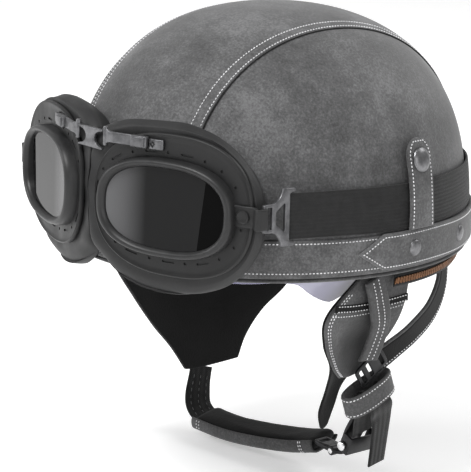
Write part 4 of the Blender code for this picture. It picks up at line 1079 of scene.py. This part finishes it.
def cushion(side, label):
    """Face pad between the flange and the dome, folded where the two meet over the nose."""
    def edge_loop(shape, n, squarer=None):
        r, z = oval(np.array(shape), squarer=squarer)
        return eye(r, z, n, side)

    def seated(loop, lift):
        hit = cast(loop, (0, 0, 20.0))
        return hit + dome_normal(hit) * (lift + 2.0 * (hit[:, 2:] < 12.0))
    rear_out = seated(edge_loop((60, 48.6, 1.5, -3.3, 2.1), -14, 3.0), 2.6)
    rear_mid = seated(edge_loop((62, 51.5, 1.0, -3.5, 2.1), -14, 3.0), 4.6)
    rear_in = seated(edge_loop((46, 33, 4.5, 1.5, 2.2), -14), 2.6)
    loops = [edge_loop((43.8, 28.4, 4.3, -0.7, 2.4), -4.5), edge_loop((46.2, 31.4, 4.3, -0.7, 2.4), -2.3),
             edge_loop((55.6, 45.2, 6.4, -0.2, 2.4), -2.3, 3.0), edge_loop((59.4, 48.9, 3.8, -1.8, 2.2), -2.9, 3.1),
             edge_loop((62.4, 51.8, 1.4, -3.3, 2.1), -6.0, 3.1), edge_loop((63.8, 53.0, 0.6, -3.6, 2.1), -12.0, 3.1),
             rear_mid, rear_out, rear_in]
    loops = np.array(loops)
    loops = catmull(loops, 44, closed=True)
    normals = unit(np.cross(np.gradient(loops, axis=0), np.gradient(loops, axis=1)))
    loops = ripple(loops, normals, 13.0, 0.7)
    # the inner part gathers into soft folds by the nose
    z = loops[..., 2]
    fold = np.exp(-(np.abs(loops[..., 0]) / 13.0) ** 2)
    loops[..., 1] += fold * (0.5 * np.sin(z * 0.35) + 0.5 * np.sin(z * 0.2 + 1.0))
    flat = loops[..., 0] * side
    soft = 0.3 + 1.1 * np.logaddexp(0.0, np.clip((flat - 0.3) / 1.1, -40, 40))
    loops[..., 0] = np.where(flat > 9, flat, np.minimum(soft, np.maximum(flat, 0.3) + 0.9)) * side
    pad = loft(f"face_cushion_{label}", loops, "cushion", "goggles", replaces=(f"goggle_cushion_{label}",))
    relax(pad, times=2)


def rounded(points, radius=0.9, steps=4):
    """Outline with its corners rounded."""
    points = np.asarray(points, float)
    out = []
    for i, p in enumerate(points):
        a, b = points[i - 1], points[(i + 1) % len(points)]
        r = min(radius, np.linalg.norm(a - p) * 0.45, np.linalg.norm(b - p) * 0.45)
        start, end = p + unit(a - p) * r, p + unit(b - p) * r
        for t in np.linspace(0, 1, steps):
            out.append((1 - t) ** 2 * start + 2 * t * (1 - t) * p + t * t * end)
    return np.array(out)


def box_outline(x0, x1, y0, y1):
    return [(x0, y0), (x1, y0), (x1, y1), (x0, y1)]


def goggle_hardware(side, label):
    """Clamp and hinge at the inner top corner, strap tab and ladder buckle at the outer side."""
    place, out = frame_of(eye(0, 0, 0, side), turned(ACROSS, side), UPWARD), turned(OUT, side)

    def span(low, high):
        return (low, high) if place[3] @ out > 0 else (-high, -low)
    for name, box, corner, depth, bevel, nodes in (
            ("clamp", (-21.1, -9.6, 34.0, 41.2), 1.0, (1.2, 5.4), 0.6, (f"clamp_block_{label}",)),
            ("clamp_lid", (-20.4, -11.0, 34.6, 40.6), 0.8, (5.2, 6.2), 0.4, ()),
            ("clamp_foot", (-8.9, 0.7, 33.7, 40.0), 0.6, (0.8, 2.9), 0.4, ())):
        slab(f"{name}_{label}", rounded(box_outline(*box), corner), place, span(*depth), "dark_metal", "goggles",
             bevel=bevel, replaces=nodes)
    mark = [(-6.6, 39.0), (-4.9, 36.9), (-6.6, 34.8), (-8.3, 36.9)]
    inner = [(-6.6 + (r + 6.6) * 0.5, 36.9 + (z - 36.9) * 0.5) for r, z in mark]
    slab(f"clamp_mark_{label}", mark, place, span(2.85, 3.25), "black_metal", "goggles", holes=[inner], bevel=0)
    hinge_z = 37.5
    path = [eye(r, hinge_z, n, side) for r, n in ((-21.4, 2.3), (-28.0, 2.3), (-34.0, 2.3), (-37.4, 1.6), (-40.4, 0.9))]

    def flared(s):
        return 6.8 + 2.6 * np.clip((s - 0.62) / 0.3, 0, 1) ** 2
    link = ribbon(path, UPRIGHT, flared).facing(out)
    plate(f"hinge_link_{label}", link, -1.0, 1.0, "dark_metal", "goggles", 36, 6, edge=0.5, both=True,
          replaces=(f"hinge_arm_{label}",))
    lathe(f"hinge_pin_{label}", [(0, -5.9), (1.3, -5.8), (1.5, -5.5), (1.5, 5.5), (1.3, 5.8), (0, 5.9)],
          eye(-40.6, hinge_z, 0.9, side), UPWARD, "dark_metal", "goggles", count=20)

    # moulded tab with its button, looped round the narrow bar of the ladder buckle
    path = [eye(r, 1.3, n, side) for r, n in ((48.5, 1.5), (56.5, 1.9), (62.5, 1.2))]
    path += [turned(point, side) for point in ((114.7, -115.6, 44.7), (115.2, -112.0, 44.7), (115.1, -108.8, 44.6))]
    tab = ribbon(path, UPRIGHT, 13.2).facing(out)
    plate(f"strap_tab_{label}", tab, -1.0, 1.1, "rubber", "goggles", 46, 8, edge=0.9, both=True,
          replaces=(f"strap_lug_{label}",))
    lathe(f"strap_button_{label}", [(4.3, -0.4), (4.3, 1.1), (4.0, 1.6), (3.3, 1.8), (3.0, 1.6), (0, 1.7)],
          eye(56.4, 1.3, 2.4, side), out, "rubber", "goggles", count=36)
    place = frame_of(turned((112.65, -99.4, 43.85), side), turned(BUCKLE_RUN, side), turned(BUCKLE_RISE, side))
    half = [(-11.7, 8.0), (-10.8, 8.5), (-3.0, 8.7), (0.4, 9.9), (3.0, 12.2), (4.6, 15.0), (5.3, 17.4), (15.9, 17.4),
            (16.8, 16.4), (16.2, 15.0), (13.2, 14.8), (11.7, 13.6)]
    outline = half + [(u, -v) for u, v in reversed(half)]
    holes = [rounded(box_outline(-8.2, -4.2, -6.7, 6.7), 0.6),
             rounded([(-0.6, -3.8), (7.0, -8.6), (7.7, -8.0), (7.7, 8.0), (7.0, 8.6), (-0.6, 3.8)], 0.9)]
    slab(f"ladder_buckle_{label}", outline, place, (-1.0, 1.0), "dark_metal", "goggles", holes=holes, bevel=0.45,
         replaces=(f"strap_buckle_{label}",))


def bridge():
    place = frame_of((0, -150.8, 78.8), (1, 0, 0), (0, 0, 1))
    bite = [(4.0 + 6.8 * (1 - math.sin(a)), 5.6 * math.cos(a)) for a in np.linspace(0.25, math.pi - 0.25, 11)]
    right = [(11.6, 6.2), (11.6, 5.2)] + [(x, z * 0.86) for x, z in bite] + [(11.6, -5.2), (11.6, -6.2)]
    left = [(-x, z) for x, z in reversed(right)]
    slab("bridge_link", right + left, place, (-1.1, 1.1), "dark_metal", "goggles", bevel=0.35,
         replaces=("bridge_plate",))


# --------------------------------------------------------------- chin harness

LEFT_FLAP = [
    [(108.3, -22, -4.4), (109.8, -8, -4.4), (109.8, 7, -4.4), (108.3, 22, -4.4)],
    [(106.0, -46, -27), (105.6, -25, -29), (106.0, -2, -29), (106.5, 20, -28)],
    [(103.0, -44, -46), (98.5, -26, -47), (97.0, -4, -47), (98.0, 18, -47.5)],
    [(99.0, -33, -64), (95.5, -24, -65), (93.0, -10, -65), (92.5, 4, -64)],
    [(95.0, -23, -73), (93.0, -18, -74), (92.0, -12, -74.5), (92.5, -6, -73.5)],
]
LEFT_LINING = [row[:] for row in LEFT_FLAP[:4]] + [
    [(91.0, -28, -82), (89.0, -23, -82), (87.8, -16, -82), (87.6, -10, -80)],
    [(87.5, -30, -97), (86.8, -26, -98), (86.2, -20, -97), (86.0, -15, -94)],
    [(86.5, -27, -108), (86.3, -25, -109), (86.1, -22.5, -108), (86.0, -20.5, -106)],
]
RIGHT_FLAP = [
    [(-97.4, -58, -4.4), (-109.0, -15, -4.4), (-103.5, 38, -4.4), (-64.0, 99, -4.4)],
    [(-98.0, -50, -35), (-107.0, -12, -35), (-104.0, 40, -35), (-70.0, 98, -37)],
    [(-97.0, -34, -60), (-103.0, 0, -61), (-101.0, 44, -62), (-79.0, 95, -65)],
    [(-96.5, -15, -85), (-99.0, 14, -86), (-98.0, 46, -86), (-89.5, 81, -85)],
    [(-95.5, 1, -103), (-96.5, 22, -104), (-96.5, 46, -104), (-94.0, 70, -103)],
    [(-94.3, 14, -121.2), (-94.5, 27, -122.0), (-94.5, 44, -121.6), (-94.0, 62, -120.4)],
]


def surface(rows, outward, count=(110, 60)):
    wide = np.stack([catmull(row, count[1]) for row in rows])
    return Patch(catmull(wide, count[0]), outward=outward)


def flap_left():
    """Leather leaf with painted shade darkening its hollow middle, its longer lining, and a black hem strip."""
    body = "flap_left"
    outer = surface(LEFT_FLAP, (1, 0, 0))
    inner = surface(LEFT_LINING, (1, 0, 0))

    # painted shade: darkest in the middle of the leaf and fading to nothing at its edges, where the hollow would be in
    # shade
    def painted_hollow_shade(u, v):
        along, across = np.clip((u - 0.16) / 0.8, 0, 1), np.clip((v - 0.22) / 0.75, 0, 1)
        return np.clip(np.sin(along * np.pi) * np.sin(across * np.pi) * 1.5, 0, 1)
    plate("ear_leather_left", outer, 0.3, 2.0, "leather_strap", body, 60, 44, edge=1.0, painted_hollow_shade=painted_hollow_shade,
          replaces=("ear_flap_left",))
    plate("ear_lining_left", inner, -2.0, -0.3, "lining", body, 80, 30, edge=0.9, both=True,
          replaces=("flap_lining_left",))
    u = np.linspace(0.10, 0.97, 240)
    for inset in (2.4, 5.0):
        sew_patch(outer, body, u, inset / outer.width(u), 1.95)
    v = np.linspace(0.03, 0.97, 60)
    for line in (0.20, 0.245):
        sew_patch(outer, body, np.full(60, line), v, 1.95)
    hem = ribbon([outer.at(0.19, s)[0] + outer.at(0.19, s)[1] * 2.3 for s in (0.0, 0.25, 0.5, 0.75, 1.0)],
                 UPRIGHT, 5.0).facing((1, 0, 0), row=10)
    plate("ear_hem_left", hem, -0.1, 1.0, "lining", body, 30, 6, edge=0.5)
    for off in (-1.7, 1.7):
        share = 0.5 + off / 5.0
        s = np.linspace(0.02, 0.98, 80)
        sew_patch(hem, body, s, np.full(80, share), 0.98)


def strap_legs():
    """The two leather straps that hold the near flap to the brim."""
    body = "flap_left"
    legs = (("front_leg_leather", "front_leg_left",
             [(114.0, -15, -5), (114.4, -10.5, -19), (111.2, -4, -36), (107.5, -5, -51), (104.0, -6.5, -62)],
             [(-0.1, 1, 0), (0.0, 1, 0)], 17.0, 2.4, (1, 0, 0)),
            ("rear_leg_leather", "rear_leg_left",
             [(81.0, 82.0, -7.5), (86.0, 76.5, -28), (93.5, 60, -42), (99.0, 38, -52), (99.2, 20, -60.4),
              (97.8, 7, -67)],
             [(-0.45, 0.9, -0.2), (-0.08, 0.57, -0.82)], 18.0, 2.6, (-1, -0.5, 0)))
    for name, node, path, wide, width, thick, outward in legs:
        strap = ribbon(path, wide, width).facing(outward, row=45)
        plate(name, strap, -thick / 2, thick / 2, "leather_strap", body, 60, 12, edge=1.0, both=True, replaces=(node,))
        u = np.linspace(0.02, 0.98, 200)
        for inset in (2.6, width - 2.6) if name.startswith("rear") else (6.0, 11.0):
            sew_patch(strap, body, u, np.full(200, inset / width), thick / 2 - 0.02)
        if name.startswith("rear"):
            backing = ribbon(path, wide, width - 3.0).facing(-np.array(outward), row=45)
            plate("rear_leg_backing", backing, thick / 2 - 0.2, thick / 2 + 0.35, "lining", body, 60, 10, edge=0.3)
            sew_patch(backing, body, u, np.full(200, 0.88), thick / 2 + 0.35)


def webbing_left():
    """Adjuster, webbing with its hanging tail, and the leather loop that gathers the straps."""
    body = "flap_left"
    long_axis, cross_axis = np.array([0, 0.82, 0.57]), np.array([0, -0.57, 0.82])
    place = frame_of((100.2, 1, -68.5), long_axis, cross_axis)
    slots = [rounded(box_outline(a, a + 3.2, -5.1, 5.1), 0.9) for a in (-10.4, -3.6, 7.2)]
    slab("adjuster_plate", rounded(box_outline(-13, 13, -7.2, 7.2), 3.0), place, (-0.9, 0.9), "black_metal", body,
         holes=slots, bevel=0.35, replaces=("adjuster_left",))

    path = [(80.6, 18, -119.5), (87, 12, -108), (94.0, 6, -96), (96.6, 2.5, -86.5), (98.6, 2.0, -84.4),
            (100.3, 4.5, -86.8), (100.6, 11, -96), (95.5, 18, -106), (91.5, 21, -122), (89.6, 21, -140)]
    tape = ribbon(path, [(0.0, 1, 0.0), (-0.25, 0.97, 0)], 19.0, count=160)
    plate("webbing_tape_left", tape, -0.9, 0.9, "webbing", body, 120, 12, edge=0.6, both=True,
          replaces=("webbing_left",))

    centre, run, up = np.array([98.6, 1.0, -86.0]), np.array([0, 0.934, 0.358]), np.array([0, -0.358, 0.934])
    turn = np.linspace(0, 2 * np.pi, 121)

    def hoop(reach, depth):
        c, s = np.cos(turn), np.sin(turn)
        return (centre + np.outer(reach * signed(c, 0.8), run)
                + np.outer(depth * signed(s, 0.8), [1.0, 0, 0]))
    line, outer_line = hoop(19.4, 7.5), hoop(20.4, 8.5)
    heights = np.linspace(-7.6, 7.6, 13)
    p = line[:, None] + heights[None, :, None] * up
    n = np.repeat(unit(outer_line - line)[:, None], 13, 1)
    loop = Patch(p, n, wrap=True)
    plate("strap_loop", loop, -0.9, 0.9, "leather_strap", body, 110, 12, edge=0.8, both=True,
          replaces=("strap_keeper_left",))
    u = np.linspace(0, 1, 500, endpoint=False)
    for v in (0.13, 0.87):
        sew_patch(loop, body, u, np.full(500, v), 0.9, closed=True)


PIN, TONGUE = np.array([74.0, 18.0, -129.6]), np.array([52.0, 23.0, -141.0])
DOWN, PROUD = unit(np.array([-0.39, 0.0, -0.92])), unit(np.array([0.92, 0.0, -0.39]))


def buckle():
    place = frame_of(PIN, (0, 1, 0), PROUD)
    channel = [(-12, -4), (-12, 4.8), (12, 4.8), (12, -4), (10.4, -4), (10.4, 3.2), (-10.4, 3.2), (-10.4, -4)]
    slab("buckle_channel", channel, place, (-8.5, 4.6), "black_metal", "flap_left", bevel=0.5,
         replaces=("buckle_frame",))
    end = [(0, 14.3), (2.7, 14.2), (3.2, 13.7), (3.2, 12.7), (2.6, 12.4), (1.6, 12.3)]
    axle = [(r, -h) for r, h in end] + end[::-1]
    lathe("buckle_axle", axle, PIN - PROUD * 0.6, (0, 1, 0), "chrome", "flap_left", replaces=("buckle_pin",))
    leaf = [(-6.5, -5), (6.5, -5), (8.3, 1), (8.8, 7), (8.4, 13), (6.6, 20), (3.4, 25), (0, 26), (-3.4, 25), (-6.6, 20),
            (-8.4, 13), (-8.8, 7), (-8.3, 1)]
    place = frame_of(PIN - PROUD * 5.4, (0, 1, 0), -DOWN)
    slab("release_lever", rounded(leaf, 2.0), place, (-1.3, 1.3), "black_metal", "lever", bevel=0.6,
         replaces=("buckle_lever",))
    inner = [(x * 0.62, 2 + (y + 5) * 0.68) for x, y in leaf]
    slab("lever_rib", rounded(inner, 1.5), place, (1.2, 1.9) if place[3] @ PROUD < 0 else (-1.9, -1.2), "black_metal",
         "lever", bevel=0.3)


def flap_right():
    body = "flap_right"
    patch = surface(RIGHT_FLAP, (-1, 0, 0))
    plate("ear_leather_right", patch, 0.3, 2.0, "leather_strap", body, 70, 60, edge=1.0, replaces=("ear_flap_right",))
    plate("ear_lining_right", patch, -2.0, -0.3, "lining", body, 70, 60, edge=0.9, both=True,
          replaces=("flap_lining_right",))
    u = np.linspace(0.10, 0.98, 300)
    for inset in (2.6, 5.2):
        share = inset / patch.width(u)
        for vs in (share, 1 - share):
            sew_patch(patch, body, u, vs, 1.95)


def chin_strap():
    body = "chin_strap"
    path = [(-94.3, 29, -121.0), (-92.0, 25, -134), (-86.5, 20, -143.6), (-79.5, 17.6, -148.6), (-73.0, 17.2, -150.6)]
    tape = ribbon(path, [(0, 1, 0), (0, 1, 0.2)], 20.0)
    plate("webbing_tape_right", tape, -0.9, 0.9, "webbing", body, 40, 12, edge=0.6, both=True,
          replaces=("webbing_right",))
    for v in (0.2, 0.5, 0.8):
        sew_patch(tape, body, np.linspace(0.1, 0.9, 60), np.full(60, v), 0.9, look="dark_thread", pitch=4.5, length=3.0,
                  radius=0.35)
    line = catmull([(-75.5, 17, -150.5), (-45, 18, -151), (-18, 22, -149.5), (10, 27, -146), (34, 29, -140)], 90)
    step = unit(np.gradient(line, axis=0))
    up = np.array([0, -0.208, 0.978])
    normal = unit(up - step * (step @ up)[:, None])
    wide = unit(np.cross(normal, step))
    wide = np.where((wide @ np.array([0, 0.978, 0.208]))[:, None] > 0, wide, -wide)
    turn = around(48)
    c, s = np.cos(turn), np.sin(turn)
    u, v = 12.7 * signed(c, 0.55), 5.0 * signed(s, 0.62)
    ends = np.sqrt(1 - (1 - np.clip(np.minimum(np.arange(90), 89 - np.arange(90)) / 4.0, 0.12, 1)) ** 2)
    loops = (line[:, None] + wide[:, None] * u[None, :, None] * (0.9 + 0.1 * ends)[:, None, None]
             + normal[:, None] * v[None, :, None] * ends[:, None, None])
    pad = loft("chin_cushion", loops, "padding", body, closed=False, caps=True, replaces=("chin_pad",))
    puff(pad, voxel=2.2, shrink=0.7)
    # leather outer face: wraps the front and underside of the pad
    wrap = np.linspace(0.80 * np.pi, 1.92 * np.pi, 44)
    c, s = np.cos(wrap), np.sin(wrap)
    u, v = 13.0 * signed(c, 0.55), 5.2 * signed(s, 0.62)
    p = line[1:-1, None] + wide[1:-1, None] * u[None, :, None] + normal[1:-1, None] * v[None, :, None]
    middle = line[1:-1, None]
    cover = Patch(p, outward=(0, -0.4, -1))
    if ((cover.p - middle) * cover.n).sum(-1).mean() < 0:
        cover = Patch(cover.p, -cover.n)
    plate("chin_leather", cover, 0.1, 1.3, "leather_strap", body, 70, 30, edge=0.8)
    for at in (0.05, 0.07, 0.88, 0.90):
        sew_patch(cover, body, np.full(60, at), np.linspace(0.03, 0.97, 60), 1.28)
    run = TONGUE - np.array([37.5, 27.5, -139.5])
    run[1] = 0
    edge = [(-17, -6), (-9, -6.5), (0, -6.5), (4.2, -4.8), (6.4, -1.8)]
    outline = edge + [(along, -across) for along, across in edge[::-1]]
    place = frame_of(TONGUE, run, (0, 1, 0))
    slab("tongue_plate", rounded(outline, 1.5), place, (-1.3, 1.3), "black_metal", body,
         holes=[rounded(box_outline(-14.5, -11.0, -4.0, 4.0), 0.8)], bevel=0.4, replaces=("buckle_tongue",))
    lathe("tongue_boss", [(0, -6.8), (2.8, -6.7), (3.3, -6.2), (3.3, 6.2), (2.8, 6.7), (0, 6.8)], TONGUE, (0, 1, 0),
          "black_metal", body)
    lathe("tongue_pin", [(0, -7.5), (1.6, -7.4), (1.9, -7.1), (1.9, 7.1), (1.6, 7.4), (0, 7.5)], TONGUE, (0, 1, 0),
          "chrome", body)


# ------------------------------------------------------------- room and camera

def studio():
    """Pale floor that curves up into the wall, white world and four soft lights. Metres here."""
    size, back, rise = 5.0, 2.6, 2.4
    floor_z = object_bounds()[0].z - 0.004
    rows = [(-size, 0.0), (back, 0.0)]
    for k in range(1, 13):
        a = math.pi / 2 * k / 12
        rows.append((back + rise * math.sin(a), rise * (1 - math.cos(a))))
    mesh = bpy.data.meshes.new("floor")
    turn = math.radians(47)
    c, s = math.cos(turn), math.sin(turn)
    points = [(x * c - y * s, x * s + y * c, floor_z + z) for y, z in rows for x in (-size, size)]
    mesh.from_pydata(points, [], [(2 * i, 2 * i + 1, 2 * i + 3, 2 * i + 2) for i in range(len(rows) - 1)])
    mesh.shade_smooth()
    floor = in_scene("floor", mesh)
    paint = Finish("pale_floor", (0.93, 0.93, 0.93), 0.9, Emission_Color=(1.0, 1.0, 1.0, 1.0), Emission_Strength=0.30,
                   Specular_IOR_Level=0.1)
    paint.put("Base Color", paint.ramp(paint.noise(400, 2, 0.5), (0.3, (0.92, 0.92, 0.92)), (0.7, (0.95, 0.95, 0.95))))
    mesh.materials.append(paint.mat)
    floor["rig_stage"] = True

    world = bpy.data.worlds.new("studio")
    bpy.context.scene.world = world
    world.use_nodes = True
    world.node_tree.nodes["Background"].inputs["Color"].default_value = (1.0, 1.0, 1.0, 1.0)
    world.node_tree.nodes["Background"].inputs["Strength"].default_value = 0.42
    target = Vector((0.0, 0.0, 0.02))
    for name, place, size, power in (("key", (0.1, -1.2, 1.9), 1.1, 46.0), ("side", (-1.6, -1.5, 0.8), 1.1, 16.0),
                                     ("rim", (0.4, 1.7, 1.5), 1.2, 16.0), ("fill", (1.9, -0.4, 0.5), 1.2, 9.0)):
        light = bpy.data.lights.new(name, "AREA")
        light.shape, light.size, light.energy = "DISK", size, power
        lamp = in_scene(name, light)
        lamp.location = place
        lamp.rotation_euler = (target - Vector(place)).to_track_quat("-Z", "Y").to_euler()


def camera():
    """Camera at the photograph's angle, aimed through the middle of the picture."""
    right, up = Vector((0.67521, 0.73642, 0.04224)), Vector((-0.17256, 0.10201, 0.97970))
    back = right.cross(up)
    focal, width, height = 2361.15, 471.0, 472.0
    aim = -back * focal + right * (width / 2 - 272.12) - up * (height / 2 - 141.58)
    back = -aim.normalized()
    right = up.cross(back).normalized()
    up = back.cross(right)
    lens = bpy.data.cameras.new("camera")
    lens.sensor_width, lens.lens = 36.0, 36.0 * focal / height
    lens.clip_start, lens.clip_end = 0.05, 50.0
    eye_point = in_scene("camera", lens)
    turn = Matrix((right, up, back)).transposed().to_4x4()
    eye_point.matrix_world = Matrix.Translation((1.10604, -1.03144, 0.36221)) @ turn
    bpy.context.scene.camera = eye_point
    bpy.context.scene.view_settings.view_transform = "Standard"


camera()
dome_shell("shell_outer", -5.1, -1.8, "shell", replaces=("outer_shell",))
dome_shell("foam_liner", -26.4, -5.5, "foam", bottom=0.4, replaces=("eps_liner",))
liner = dome_shell("comfort_padding", -31.0, -26.8, "padding", rows=40, cols=192, bottom=0.2, swell=quilting,
                   replaces=("comfort_liner",))
leather_cover()
brim_leather()
rear_band()
elastic()
zipper()
visor_mesh()
crown_cushion()
for side, label in SIDES:
    keeper(side, label)
    eyepiece(side, label)
    cushion(side, label)
    goggle_hardware(side, label)
bridge()
flap_left()
strap_legs()
webbing_left()
buckle()
flap_right()
chin_strap()
finish_sewing()
studio()
